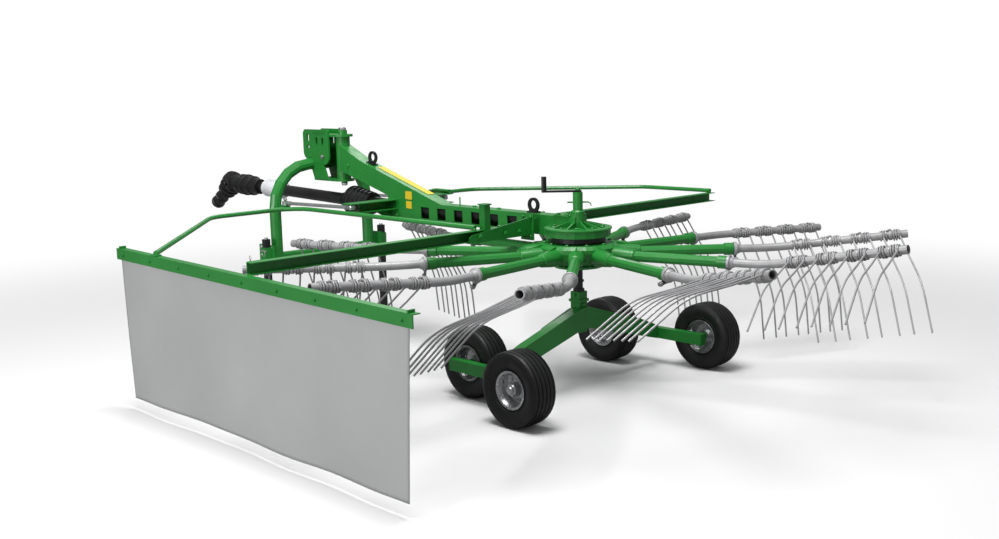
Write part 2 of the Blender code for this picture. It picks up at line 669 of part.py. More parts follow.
def make_lifting_eyes():
    """The two crane eyes on top of the beam."""
    slope = (BEAM_KNEE[1] - BEAM_TOP) / (BEAM_KNEE[0] - BEAM_BEND_X)
    eyes = (("lifting_eye_front", 1.744, math.atan(slope)), ("lifting_eye_rear", 0.325, 0.0))
    for name, x, tilt in eyes:
        top = BEAM_TOP + max(0.0, x - BEAM_BEND_X) * slope
        ring = rod((x, -0.007, top + 0.042), (x, 0.007, top + 0.042), 0.040, 20)
        foot = block((x - 0.030, -0.0069, top + 0.004), (x + 0.030, 0.0069, top + 0.030))
        hole = rod((x, -0.02, top + 0.044), (x, 0.02, top + 0.044), 0.024, 16)
        base = block((x - 0.034, -0.02, top + SEAT_GAP), (x + 0.034, 0.02, top + 0.008))
        eye = combined(base, added=(foot, ring), removed=(hole,))
        bmesh.ops.rotate(eye, verts=eye.verts, cent=(x, 0, top), matrix=Matrix.Rotation(-tilt, 3, "Y"))
        node(name, eye, "black_paint", "frame")


# ---------------------------------------------------------------- power take-off shaft
def along_pto(distance):
    """A point on the shaft's axis, measured forward from the beam's input."""
    direction = (PTO_AXIS_END - PTO_AXIS_START).normalized()
    return PTO_AXIS_START + direction * distance


def make_pto_shaft():
    """Guard bell, telescoping guard tube, pale collar and the universal joint at the tractor's end."""
    throat = rod(along_pto(0.061), along_pto(PTO_BELL_START + 0.005), PTO_THROAT_RADIUS, 20)
    bell = rod(along_pto(PTO_BELL_START), along_pto(PTO_BELL_END), 0.064, 20, end_radius=0.092)
    node("pto_guard_bell", combined(throat, added=(bell,)), "black_plastic", "frame")
    tube = rod(along_pto(PTO_BELL_END + SEAT_GAP), along_pto(PTO_TUBE_END), PTO_TUBE_RADIUS, 20)
    node("pto_guard_tube", tube, "black_plastic", "frame")
    collar = rod(along_pto(PTO_TUBE_END + SEAT_GAP), along_pto(PTO_COLLAR_END), 0.058, 20)
    node("pto_collar", collar, "pale_plastic", "frame")
    start = PTO_COLLAR_END
    neck = rod(along_pto(start + SEAT_GAP), along_pto(start + 0.12), 0.036, 16)
    cone = rod(along_pto(start + 0.09), along_pto(start + 0.24), 0.050, 16, end_radius=0.072)
    knuckle = rod(along_pto(start + 0.23), along_pto(start + 0.37), 0.072, 16, end_radius=0.066)
    joint = combined(neck, added=(cone, knuckle))
    node("pto_inner_joint", joint, "black_plastic", "frame")
    direction = (PTO_AXIS_END - PTO_AXIS_START).normalized()
    down = Matrix.Rotation(PTO_YOKE_DROP, 3, "Y") @ direction
    face = start + 0.37
    elbow = along_pto(face + 0.092)
    head = rod(elbow - down * 0.033, elbow + down * 0.115, 0.080, 16, end_radius=0.060)
    nose = rod(elbow + down * 0.11, elbow + down * 0.29, 0.045, 16)
    ball = rod(along_pto(face + SEAT_GAP), along_pto(face + 0.06), 0.060, 16)
    bore = rod(elbow + down * 0.17, elbow + down * 0.32, 0.022, 12)
    node("pto_outer_yoke", combined(ball, added=(head, nose), removed=(bore,)), "black_plastic", "frame")


# ---------------------------------------------------------------- headstock
def slot(x, z, length, width):
    """A cutter through both cheeks, rounded at top and bottom."""
    outline = []
    for end, first in ((z + length / 2, 0.0), (z - length / 2, math.pi)):
        for k in range(6):
            angle = first + math.pi * k / 5
            outline.append((x + width / 2 * math.cos(angle), end + width / 2 * math.sin(angle)))
    return prism(outline, -CHEEK_SPACING, CHEEK_SPACING, 1)


def strut_lug(side):
    """The ear with an upright pin that a stabiliser's front eye turns on."""
    x, y = STRUT_FRONT
    top = STRUT_Z - STRUT_EYE_HEIGHT / 2 - SEAT_GAP
    ear = block((x - 0.022, y - 0.022, top - LUG_THICKNESS), (ARCH_X, ARCH_HALF_WIDTH, top))
    pin = rod((x, y, top - 0.005), (x, y, top + STRUT_EYE_HEIGHT + 0.008), STRUT_PIN_RADIUS, 10)
    lug = combined(ear, added=(pin,))
    return lug if side > 0 else mirrored(lug)


def leg_pad(side):
    """The flat on a leg's outside that its hitch bracket is welded to."""
    x, z = SIDE_PLATE_CENTRE
    pad = block((ARCH_X - 0.018, ARCH_HALF_WIDTH, z - 0.030), (ARCH_X + 0.018, SIDE_PLATE_Y - SEAT_GAP, z + 0.060))
    return pad if side > 0 else mirrored(pad)


def make_headstock():
    """The arch, the top-link cheeks and the two lugs of the vertical pivot, as one weldment."""
    corners = ((ARCH_X, ARCH_HALF_WIDTH, ARCH_BOTTOM), (ARCH_X, ARCH_HALF_WIDTH, ARCH_TOP),
               (ARCH_X, -ARCH_HALF_WIDTH, ARCH_TOP), (ARCH_X, -ARCH_HALF_WIDTH, ARCH_BOTTOM))
    arch = swept(rounded(corners, ARCH_BEND, 5), ARCH_RADIUS, 12)
    cross = rod((ARCH_X, -ARCH_HALF_WIDTH, CROSS_TUBE_Z), (ARCH_X, ARCH_HALF_WIDTH, CROSS_TUBE_Z),
                CROSS_TUBE_RADIUS, 10)
    upper_top = UPPER_LUG_BOTTOM + LUG_THICKNESS
    lower_bottom = LOWER_LUG_TOP - LUG_THICKNESS
    half = CHEEK_SPACING / 2
    out = half + CHEEK_THICKNESS
    cheek_outline = [
        (CHEEK_FRONT_X - 0.02, CHEEK_TOP), (CHEEK_REAR_X + 0.01, CHEEK_TOP), (CHEEK_REAR_X, CHEEK_TOP - 0.01)]
    for x, z, first in ((CHEEK_REAR_X + CHEEK_ROUNDING, CHEEK_BOTTOM, math.pi),
                        (CHEEK_FRONT_X - CHEEK_ROUNDING, CHEEK_BOTTOM + 0.03, 1.5 * math.pi)):
        for k in range(5):
            angle = first + 0.5 * math.pi * k / 4
            cheek_outline.append((x + CHEEK_ROUNDING * math.cos(angle), z + CHEEK_ROUNDING * math.sin(angle)))
    cheek_outline.append((CHEEK_FRONT_X, CHEEK_TOP - 0.02))
    near = prism(cheek_outline, half, out, 1)
    far = prism(cheek_outline, -out, -half, 1)
    web = block((WEB_X, -out + 0.001, ARCH_TOP), (WEB_X + 0.012, out - 0.001, CHEEK_TOP - 0.004))
    upper = block((PIVOT_X, -LUG_RADIUS, UPPER_LUG_BOTTOM), (WEB_X + 0.005, LUG_RADIUS, upper_top))
    lower = block((PIVOT_X, -LUG_RADIUS, lower_bottom), (ARCH_X - 0.02, LUG_RADIUS, LOWER_LUG_TOP))
    upper_nose = rod((PIVOT_X, 0, UPPER_LUG_BOTTOM + 1e-4), (PIVOT_X, 0, upper_top - 1e-4), LUG_RADIUS, 24)
    lower_nose = rod((PIVOT_X, 0, lower_bottom + 1e-4), (PIVOT_X, 0, LOWER_LUG_TOP - 1e-4), LUG_RADIUS, 24)
    gusset_outline = ((CHEEK_REAR_X + 0.02, LOWER_LUG_TOP - 0.005), (ARCH_X - 0.03, LOWER_LUG_TOP - 0.005),
                      (ARCH_X + 0.01, ARCH_TOP), (ARCH_X - 0.02, ARCH_TOP + 0.06), (CHEEK_REAR_X + 0.09, ARCH_TOP + 0.06))
    gussets = [prism(gusset_outline, y, y + 0.010, 1) for y in (-out + 0.001, out - 0.011)]
    pin_room = rod((PIVOT_X, 0, lower_bottom - 0.01), (PIVOT_X, 0, upper_top + 0.01), PIVOT_RADIUS + SEAT_GAP, 16)
    cuts = [slot(CHEEK_FRONT_X - 0.055, CHEEK_TOP - 0.055, 0.030, 0.024)]
    cuts.append(slot(CHEEK_FRONT_X - 0.150, CHEEK_TOP - 0.075, 0.030, 0.022))
    cuts.append(slot(CHEEK_FRONT_X - 0.215, CHEEK_TOP - 0.078, 0.030, 0.022))
    cuts.append(rod((CHEEK_FRONT_X - 0.055, -0.2, CHEEK_BOTTOM + 0.060), (CHEEK_FRONT_X - 0.055, 0.2, CHEEK_BOTTOM + 0.060), 0.013, 12))
    frame = combined(arch, added=(cross, near, far))
    frame = combined(frame, added=(web, upper, upper_nose, lower, lower_nose, joined(gussets)))
    for _, side in SIDES:
        frame = combined(frame, added=(strut_lug(side), leg_pad(side)))
    frame = combined(frame, removed=(pin_room, *cuts))
    node("headstock_frame", frame, "green_paint", "headstock")
    pin = rod((PIVOT_X, 0, lower_bottom - 0.012), (PIVOT_X, 0, upper_top + 0.005), PIVOT_RADIUS, 16)
    head = rod((PIVOT_X, 0, upper_top + SEAT_GAP), (PIVOT_X, 0, upper_top + 0.026), 0.030, 16)
    node("pivot_pin", combined(pin, added=(head,)), "green_paint", "headstock")


def make_hitch_sides():
    """On each leg: the side plate, the lower hitch pin, the stand's sleeve and the parking stand."""
    for name, side in SIDES:
        length, thickness, height = SIDE_PLATE
        x, z = SIDE_PLATE_CENTRE
        plate = block((x - length / 2, SIDE_PLATE_Y, z - height / 2),
                      (x + length / 2, SIDE_PLATE_Y + thickness, z + height / 2))
        half = STAND_SLEEVE_SIDE / 2
        inside = half - STAND_SLEEVE_WALL
        sleeve = block((STAND_X - half, STAND_Y - half - 0.001, STAND_SLEEVE[0]),
                       (STAND_X + half, STAND_Y + half, STAND_SLEEVE[1]))
        room = block((STAND_X - inside, STAND_Y - inside, STAND_SLEEVE[0] - 0.01),
                     (STAND_X + inside, STAND_Y + inside, STAND_SLEEVE[1] + 0.01))
        pin = rod((HITCH_PIN_X, SIDE_PLATE_Y + thickness / 2, HITCH_PIN_Z),
                  (HITCH_PIN_X, SIDE_PLATE_Y + HITCH_PIN_LENGTH, HITCH_PIN_Z), HITCH_PIN_RADIUS, 14)
        bracket = combined(plate, added=(sleeve, pin), removed=(room,))
        leg = block((STAND_X - STAND_SIDE / 2, STAND_Y - STAND_SIDE / 2, STAND_FOOT[2] / 2),
                    (STAND_X + STAND_SIDE / 2, STAND_Y + STAND_SIDE / 2, STAND_TOP))
        foot = block((STAND_X - STAND_FOOT[0] / 2, STAND_Y - STAND_FOOT[1] / 2, 0),
                     (STAND_X + STAND_FOOT[0] / 2, STAND_Y + STAND_FOOT[1] / 2, STAND_FOOT[2]))
        stand = combined(leg, added=(foot,))
        if side < 0:
            bracket, stand = mirrored(bracket), mirrored(stand)
        node("hitch_bracket_" + name, bracket, "green_paint", "headstock")
        node("parking_stand_" + name, stand, "black_paint", "stand_" + name)


def strut_arm():
    """The left forked arm: two plates, a web on their front edge, a foot on the beam and a gusset below."""
    half = STRUT_ARM_WIDTH / 2
    x = STRUT_REAR[0]
    root = BEAM_WIDTH / 2 + SEAT_GAP
    plate = STRUT_ARM_PLATE
    low = STRUT_ARM_LOWER_TOP - plate
    foot = block((x - half, root, STRUT_ARM_ROOT_Z), (x + half, root + plate, STRUT_ARM_TOP))
    upper = block((x - half + 0.001, root + 0.002, STRUT_ARM_TOP - plate), (x + half - 0.001, STRUT_ARM_END, STRUT_ARM_TOP - 1e-4))
    lower = block((x - half + 0.001, root + 0.002, low), (x + half - 0.001, STRUT_ARM_END, STRUT_ARM_LOWER_TOP))
    web_outline = ((root + 0.001, STRUT_ARM_ROOT_Z + 0.001), (root + 0.040, STRUT_ARM_ROOT_Z + 0.001),
                   (STRUT_ARM_WEB_END - 0.100, low + 0.001), (STRUT_ARM_WEB_END, low + 0.001),
                   (STRUT_ARM_WEB_END, STRUT_ARM_TOP - 0.002), (root + 0.001, STRUT_ARM_TOP - 0.002))
    web = prism(web_outline, x + half - plate - 0.002, x + half - 0.002, 0)
    return combined(foot, added=(upper, lower, web))


def make_struts():
    """The stabiliser struts and the forked arms on the beam that hold their rear ends."""
    for name, side in SIDES:
        front = Vector((*STRUT_FRONT, STRUT_Z))
        rear = Vector((*STRUT_REAR, STRUT_REAR_Z))
        bar = rod(front, rear, STRUT_RADIUS, 12)
        rise = Vector((0, 0, STRUT_EYE_HEIGHT / 2))
        eyes = [rod(end - rise, end + rise, STRUT_EYE_RADIUS, 12) for end in (front, rear)]
        pin_room = rod(front - rise * 3, front + rise * 3, STRUT_PIN_RADIUS + PIN_GAP, 10)
        strut = combined(bar, added=(joined(eyes),), removed=(pin_room,))
        arm = strut_arm()
        if side < 0:
            strut, arm = mirrored(strut), mirrored(arm)
        node("stabiliser_" + name, strut, "zinc", "strut_" + name)
        node("stabiliser_arm_" + name, arm, "green_paint", "frame", smooth=False)


# ---------------------------------------------------------------- swath curtain and guards
def guard_channel(x, top, start, end):
    """A C-section beam along Y, open to the rear."""
    half = GUARD_BEAM_WIDTH / 2
    rear, front = x - half, x + half
    bottom = top - GUARD_BEAM_HEIGHT
    wall = GUARD_BEAM_WALL
    outline = ((rear, bottom), (front, bottom), (front, top), (rear, top), (rear, top - wall),
               (front - wall, top - wall), (front - wall, bottom + wall), (rear, bottom + wall))
    return prism(outline, start, end, 1)


def guard_corners(inner_end, side, outer_end):
    """Corners of a guard hoop: forward beside the beam, across in front of the rotor, then back outside it."""
    front_z = GUARD_BEAM_TOP + 0.005
    across = ((HOOP_FRONT_X, 0.455, front_z + 0.003), (HOOP_FRONT_X, 1.03, front_z))
    return [(x, side * y, z) for x, y, z in inner_end + across + outer_end]


def make_curtain():
    """The telescoping beam with its rail, hoop and post, and the canvas that hangs from the rail."""
    rail_inside = CURTAIN_Y + 0.008 - RAIL_WIDTH
    beam = guard_channel(GUARD_BEAM_X, GUARD_BEAM_TOP, GUARD_BEAM_START, rail_inside - SEAT_GAP)
    node("curtain_beam", beam, "green_paint", "curtain", smooth=False)
    rail_slope = (RAIL_FRONT[1] - RAIL_REAR[1]) / (RAIL_FRONT[0] - RAIL_REAR[0])

    def rail_top(x):
        return RAIL_REAR[1] + (x - RAIL_REAR[0]) * rail_slope

    outer = CURTAIN_Y + 0.008
    bm = bmesh.new()
    ends = []
    for x, top in (RAIL_REAR, RAIL_FRONT):
        outline = ((outer - RAIL_WIDTH, top), (outer, top), (outer, top - RAIL_DEPTH),
                   (outer - RAIL_WALL, top - RAIL_DEPTH), (outer - RAIL_WALL, top - RAIL_WALL),
                   (outer - RAIL_WIDTH, top - RAIL_WALL))
        ends.append([bm.verts.new((x, y, z)) for y, z in outline])
    for k in range(len(ends[0])):
        n = (k + 1) % len(ends[0])
        bm.faces.new((ends[0][k], ends[0][n], ends[1][n], ends[1][k]))
    bm.faces.new(ends[0])
    bm.faces.new(ends[1])
    bmesh.ops.recalc_face_normals(bm, faces=bm.faces)
    node("curtain_rail", bm, "green_paint", "curtain", smooth=False)

    face = outer - RAIL_WALL - SEAT_GAP
    under = RAIL_WALL + SEAT_GAP
    rear_top, front_top = CURTAIN_TOP_X
    rear_low, front_low = CURTAIN_BOTTOM_X
    outline = ((rear_low, CURTAIN_BOTTOM), (front_low, CURTAIN_BOTTOM), (front_top, rail_top(front_top) - under),
               (rear_top, rail_top(rear_top) - under))
    node("swath_curtain", prism(outline, face - CURTAIN_THICKNESS, face, 1), "canvas", "curtain", smooth=False)

    rest_x = 1.07
    rest_z = rail_top(rest_x) + GUARD_TUBE_RADIUS + SEAT_GAP
    inner_end = ((GUARD_BEAM_X, 0.475, GUARD_BEAM_TOP + GUARD_TUBE_RADIUS + SEAT_GAP),)
    corners = guard_corners(inner_end, 1, ((rest_x, CURTAIN_Y - 0.004, rest_z),))
    node("curtain_guard_tube", swept(rounded(corners, 0.16, 4), GUARD_TUBE_RADIUS, 8), "green_paint", "curtain")

    half = POST_SIDE / 2
    base = GUARD_BEAM_TOP + SEAT_GAP
    post = block((GUARD_BEAM_X - half, POST_Y - half, base), (GUARD_BEAM_X + half, POST_Y + half, base + POST_HEIGHT))
    cap = block((GUARD_BEAM_X - half - 0.006, POST_Y - half - 0.006, base + POST_HEIGHT - 0.001),
                (GUARD_BEAM_X + half + 0.006, POST_Y + half + 0.006, base + POST_HEIGHT + 0.006))
    node("curtain_post", combined(post, added=(cap,)), "green_paint", "curtain", smooth=False)


def make_curtain_sleeve():
    """The open trough that the curtain beam slides in, bolted to the gearbox housing."""
    half = GUARD_BEAM_WIDTH / 2 + SLEEVE_SIDE_GAP
    bottom = GUARD_BEAM_TOP - GUARD_BEAM_HEIGHT - SEAT_GAP
    rear = GUARD_BEAM_X - half - SLEEVE_WALL
    front = GUARD_BEAM_X + half + SLEEVE_WALL
    start = 0.098
    floor = block((rear, start - 0.004, bottom - SLEEVE_WALL), (front, SLEEVE_END, bottom))
    rear_outline = ((start - 0.004, bottom - SLEEVE_WALL), (SLEEVE_END, bottom - SLEEVE_WALL),
                    (SLEEVE_END, GUARD_BEAM_TOP - 0.030), (SLEEVE_END - 0.02, GUARD_BEAM_TOP - 0.018),
                    (start - 0.004, BEAM_TOP - 0.008))
    rear_wall = prism(rear_outline, rear, rear + SLEEVE_WALL, 0)
    front_wall = block((front - SLEEVE_WALL, start - 0.004, bottom - SLEEVE_WALL),
                       (front, SLEEVE_END, GUARD_BEAM_TOP - 0.020))
    plate = block((rear - 0.015, start - 0.006, 0.770), (front + 0.012, start, BEAM_TOP + 0.010))
    foot = block((rear + 0.004, BEAM_WIDTH / 2 + SEAT_GAP, BEAM_BOTTOM + 0.008), (BEAM_REAR_X - 0.004, start - 0.003, 0.885))
    sleeve = combined(floor, added=(rear_wall, front_wall, plate, foot))
    node("curtain_sleeve", sleeve, "green_paint", "frame", smooth=False)


def make_right_guard():
    """The folding guard on the right: bracket, hinge pin, C-section beam and hoop."""
    half = GUARD_BEAM_WIDTH / 2
    rear, front = RIGHT_BEAM_X - half, RIGHT_BEAM_X + half
    face = -BEAM_WIDTH / 2 - SEAT_GAP
    stop = GUARD_HINGE_Y + 0.022
    bracket = block((rear + 0.004, stop, BEAM_BOTTOM + 0.008), (front - 0.004, face, BEAM_TOP - 0.002))
    ears = []
    for x in (rear - 0.012, front + 0.004):
        ears.append(block((x, GUARD_HINGE_Y - 0.014, GUARD_HINGE_Z - 0.024), (x + 0.008, face - 0.006, GUARD_HINGE_Z + 0.016)))
    tie = block((rear - 0.012, stop + 0.004, BEAM_TOP - 0.060), (front + 0.012, face - 0.010, BEAM_TOP - 0.045))
    pin = rod((rear - 0.018, GUARD_HINGE_Y, GUARD_HINGE_Z), (front + 0.018, GUARD_HINGE_Y, GUARD_HINGE_Z),
              GUARD_HINGE_PIN, 12)
    node("guard_bracket", combined(bracket, added=(joined(ears), tie, pin)), "green_paint", "frame", smooth=False)
    start = GUARD_HINGE_Y - 0.012
    channel = guard_channel(RIGHT_BEAM_X, RIGHT_BEAM_TOP, -RIGHT_GUARD_REACH, start)
    lug_top = GUARD_HINGE_Z + 0.010
    lug_outline = ((start, RIGHT_BEAM_TOP - 0.002), (start - 0.05, RIGHT_BEAM_TOP - 0.002),
                   (GUARD_HINGE_Y - 0.012, lug_top), (GUARD_HINGE_Y + 0.008, lug_top),
                   (GUARD_HINGE_Y + 0.012, GUARD_HINGE_Z - 0.004))
    lug = prism(lug_outline, rear + 0.002, front - 0.002, 0)
    pin_room = rod((rear - 0.02, GUARD_HINGE_Y, GUARD_HINGE_Z), (front + 0.02, GUARD_HINGE_Y, GUARD_HINGE_Z),
                   GUARD_HINGE_PIN + PIN_GAP, 12)
    node("right_guard_beam", combined(channel, added=(lug,), removed=(pin_room,)), "green_paint", "right_guard",
         smooth=False)
    rest = RIGHT_BEAM_TOP + GUARD_TUBE_RADIUS + SEAT_GAP
    far = RIGHT_GUARD_REACH - 0.02
    over_arm = STRUT_ARM_TOP + GUARD_TUBE_RADIUS + SEAT_GAP
    inner_end = tuple((STRUT_REAR[0] + x, STRUT_ARM_END - 0.020, over_arm) for x in (-0.030, 0.100))
    corners = guard_corners(inner_end, -1, ((0.97, far, rest - 0.004), (RIGHT_BEAM_X, far, rest)))
    node("right_guard_tube", swept(rounded(corners, 0.16, 4), GUARD_TUBE_RADIUS, 8), "green_paint", "right_guard")


def main():
    for item in list(bpy.data.objects):
        bpy.data.objects.remove(item)
    make_bodies()
    make_wheels()
    make_rockers()
    make_axle()
    make_rotor_hub()
    make_tine_arms()
    make_main_beam()
    make_drive_shaft()
    make_gearbox()
    make_lifting_eyes()
    make_pto_shaft()
    make_headstock()
    make_hitch_sides()
    make_struts()
    make_curtain()
    make_curtain_sleeve()
    make_right_guard()


main()
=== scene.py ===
"""Visual model of the single rotor hay rake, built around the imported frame."""
import json
import math
import bmesh
import bpy
from mathutils import Matrix, Vector


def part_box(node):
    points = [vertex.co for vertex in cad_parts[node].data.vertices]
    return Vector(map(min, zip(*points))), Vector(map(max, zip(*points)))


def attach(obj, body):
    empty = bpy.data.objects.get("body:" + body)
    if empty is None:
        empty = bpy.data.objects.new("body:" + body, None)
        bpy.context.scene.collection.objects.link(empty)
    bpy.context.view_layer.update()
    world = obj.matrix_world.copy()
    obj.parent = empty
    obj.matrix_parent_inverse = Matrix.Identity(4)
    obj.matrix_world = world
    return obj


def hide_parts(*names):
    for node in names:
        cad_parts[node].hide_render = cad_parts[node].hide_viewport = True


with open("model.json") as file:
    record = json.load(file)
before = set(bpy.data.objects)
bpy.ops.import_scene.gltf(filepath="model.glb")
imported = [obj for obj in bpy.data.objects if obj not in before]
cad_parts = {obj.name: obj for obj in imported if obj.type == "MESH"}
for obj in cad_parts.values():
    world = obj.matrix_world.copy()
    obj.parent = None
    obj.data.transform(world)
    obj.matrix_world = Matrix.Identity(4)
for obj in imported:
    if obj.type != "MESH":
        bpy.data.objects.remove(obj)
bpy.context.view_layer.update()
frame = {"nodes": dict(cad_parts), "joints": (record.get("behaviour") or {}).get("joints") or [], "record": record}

NODES = frame["nodes"]
JOINTS = {joint["name"]: joint for joint in frame["joints"]}
ROTOR = Vector(JOINTS["rotor_spin"]["pos_m"])
MACHINE = Vector((ROTOR.x, ROTOR.y, 0.0))      # on the ground under the rotor's axis


def at(x, y, z):
    """A machine-frame point in the world."""
    return MACHINE + Vector((x, y, z))


# ---------------------------------------------------------------- camera
FOCAL = 1138.99
PRINCIPAL = (533.93, 272.08)
IMAGE = (999, 539)
CAMERA_AT = (-4.0061, 4.3863, 1.6117)
CAMERA_PITCH = 0.16635
CAMERA_YAW = -0.79093
CAMERA_ROLL = -0.0180


def make_camera():
    data = bpy.data.cameras.new("camera")
    data.sensor_width = 36.0
    data.lens = FOCAL * 36.0 / IMAGE[0]
    data.shift_x = (IMAGE[0] / 2 - PRINCIPAL[0]) / IMAGE[0]
    data.shift_y = (PRINCIPAL[1] - IMAGE[1] / 2) / IMAGE[0]
    data.clip_start = 0.05
    data.clip_end = 200
    camera = bpy.data.objects.new("camera", data)
    bpy.context.scene.collection.objects.link(camera)
    cp, sp = math.cos(CAMERA_PITCH), math.sin(CAMERA_PITCH)
    forward = Vector((math.cos(CAMERA_YAW) * cp, math.sin(CAMERA_YAW) * cp, -sp))
    right = Vector((math.sin(CAMERA_YAW), -math.cos(CAMERA_YAW), 0))
    up = right.cross(forward)
    cr, sr = math.cos(CAMERA_ROLL), math.sin(CAMERA_ROLL)
    right, up = right * cr + up * sr, up * cr - right * sr
    turn = Matrix((right, up, -forward)).transposed().to_4x4()
    camera.matrix_world = Matrix.Translation(at(*CAMERA_AT)) @ turn
    bpy.context.scene.camera = camera


SKY_STRENGTH = 0.30
FLOOR_COLOUR = (0.84, 0.835, 0.835, 1)        # as the camera sees it
FLOOR_BOUNCE = (0.30, 0.30, 0.30, 1)           # as it lights the machine from below
FLOOR_FADE = (2.2, 7.0)                        # metres from the machine where the floor turns white
LAMPS = (                                      # name, position, target, size, watts
    ("key", (-0.4, 1.4, 6.5), (0.4, 0.0, 0.4), (3.0, 3.0), 430),
    ("side", (0.6, 8.5, 2.6), (0.4, 1.2, 0.4), (4.0, 2.0), 330),
    ("rim", (5.5, -3.5, 5.0), (0.6, 0, 0.6), (2.5, 2.5), 60),
)


# ---------------------------------------------------------------- light and floor
def area_light(name, position, target, size, power):
    data = bpy.data.lights.new(name, "AREA")
    data.shape = "RECTANGLE"
    data.size, data.size_y = size
    data.energy = power
    light = bpy.data.objects.new(name, data)
    bpy.context.scene.collection.objects.link(light)
    position, target = Vector(position), Vector(target)
    turn = (target - position).to_track_quat("-Z", "Y").to_matrix().to_4x4()
    light.matrix_world = Matrix.Translation(position) @ turn


def make_world():
    """White behind the machine; a soft, weaker sky as its light."""
    scene = bpy.context.scene
    scene.view_settings.view_transform = "Standard"
    world = bpy.data.worlds.new("studio")
    scene.world = world
    world.use_nodes = True
    nodes, links = world.node_tree.nodes, world.node_tree.links
    nodes.clear()
    out = nodes.new("ShaderNodeOutputWorld")
    seen = nodes.new("ShaderNodeBackground")
    seen.inputs["Strength"].default_value = 1.0
    seen.inputs["Color"].default_value = (1, 1, 1, 1)
    lit = nodes.new("ShaderNodeBackground")
    lit.inputs["Strength"].default_value = SKY_STRENGTH
    lit.inputs["Color"].default_value = (0.97, 0.98, 1.0, 1)
    path = nodes.new("ShaderNodeLightPath")
    mix = nodes.new("ShaderNodeMixShader")
    links.new(path.outputs["Is Camera Ray"], mix.inputs["Fac"])
    links.new(lit.outputs[0], mix.inputs[1])
    links.new(seen.outputs[0], mix.inputs[2])
    links.new(mix.outputs[0], out.inputs["Surface"])


def make_floor():
    """A pale floor that keeps the shadows and fades to white away from the machine."""
    bpy.ops.mesh.primitive_circle_add(vertices=96, radius=60, fill_type="NGON",
                                      location=at(0.5, 0, -0.0005))
    floor = bpy.context.object
    floor.name = "floor"
    material = bpy.data.materials.new("floor")
    material.use_nodes = True
    tree = material.node_tree
    shader = tree.nodes["Principled BSDF"]
    seen_colour = tree.nodes.new("ShaderNodeMix")
    seen_colour.data_type = "RGBA"
    seen_colour.inputs["A"].default_value = FLOOR_BOUNCE
    seen_colour.inputs["B"].default_value = FLOOR_COLOUR
    tree.links.new(seen_colour.outputs["Result"], shader.inputs["Base Color"])
    shader.inputs["Roughness"].default_value = 0.7
    shader.inputs["Specular IOR Level"].default_value = 0.2
    white = tree.nodes.new("ShaderNodeEmission")
    white.inputs["Color"].default_value = (1, 1, 1, 1)
    path = tree.nodes.new("ShaderNodeLightPath")
    tree.links.new(path.outputs["Is Camera Ray"], seen_colour.inputs["Factor"])
    place = tree.nodes.new("ShaderNodeNewGeometry")
    reach = tree.nodes.new("ShaderNodeVectorMath")
    reach.operation = "DISTANCE"
    reach.inputs[1].default_value = at(0.4, 0.3, 0)
    fade = tree.nodes.new("ShaderNodeMapRange")
    fade.interpolation_type = "SMOOTHSTEP"
    fade.inputs["From Min"].default_value = FLOOR_FADE[0]
    fade.inputs["From Max"].default_value = FLOOR_FADE[1]
    seen = tree.nodes.new("ShaderNodeMath")
    seen.operation = "MULTIPLY"
    mix = tree.nodes.new("ShaderNodeMixShader")
    tree.links.new(place.outputs["Position"], reach.inputs[0])
    tree.links.new(reach.outputs["Value"], fade.inputs["Value"])
    tree.links.new(fade.outputs["Result"], seen.inputs[0])
    tree.links.new(path.outputs["Is Camera Ray"], seen.inputs[1])
    tree.links.new(seen.outputs[0], mix.inputs["Fac"])
    tree.links.new(shader.outputs[0], mix.inputs[1])
    tree.links.new(white.outputs[0], mix.inputs[2])
    tree.links.new(mix.outputs[0], tree.nodes["Material Output"].inputs["Surface"])
    floor.data.materials.append(material)


def make_studio():
    make_world()
    for lamp in LAMPS:
        name, position, target, size, power = lamp
        area_light(name, at(*position), at(*target), size, power)
    make_floor()


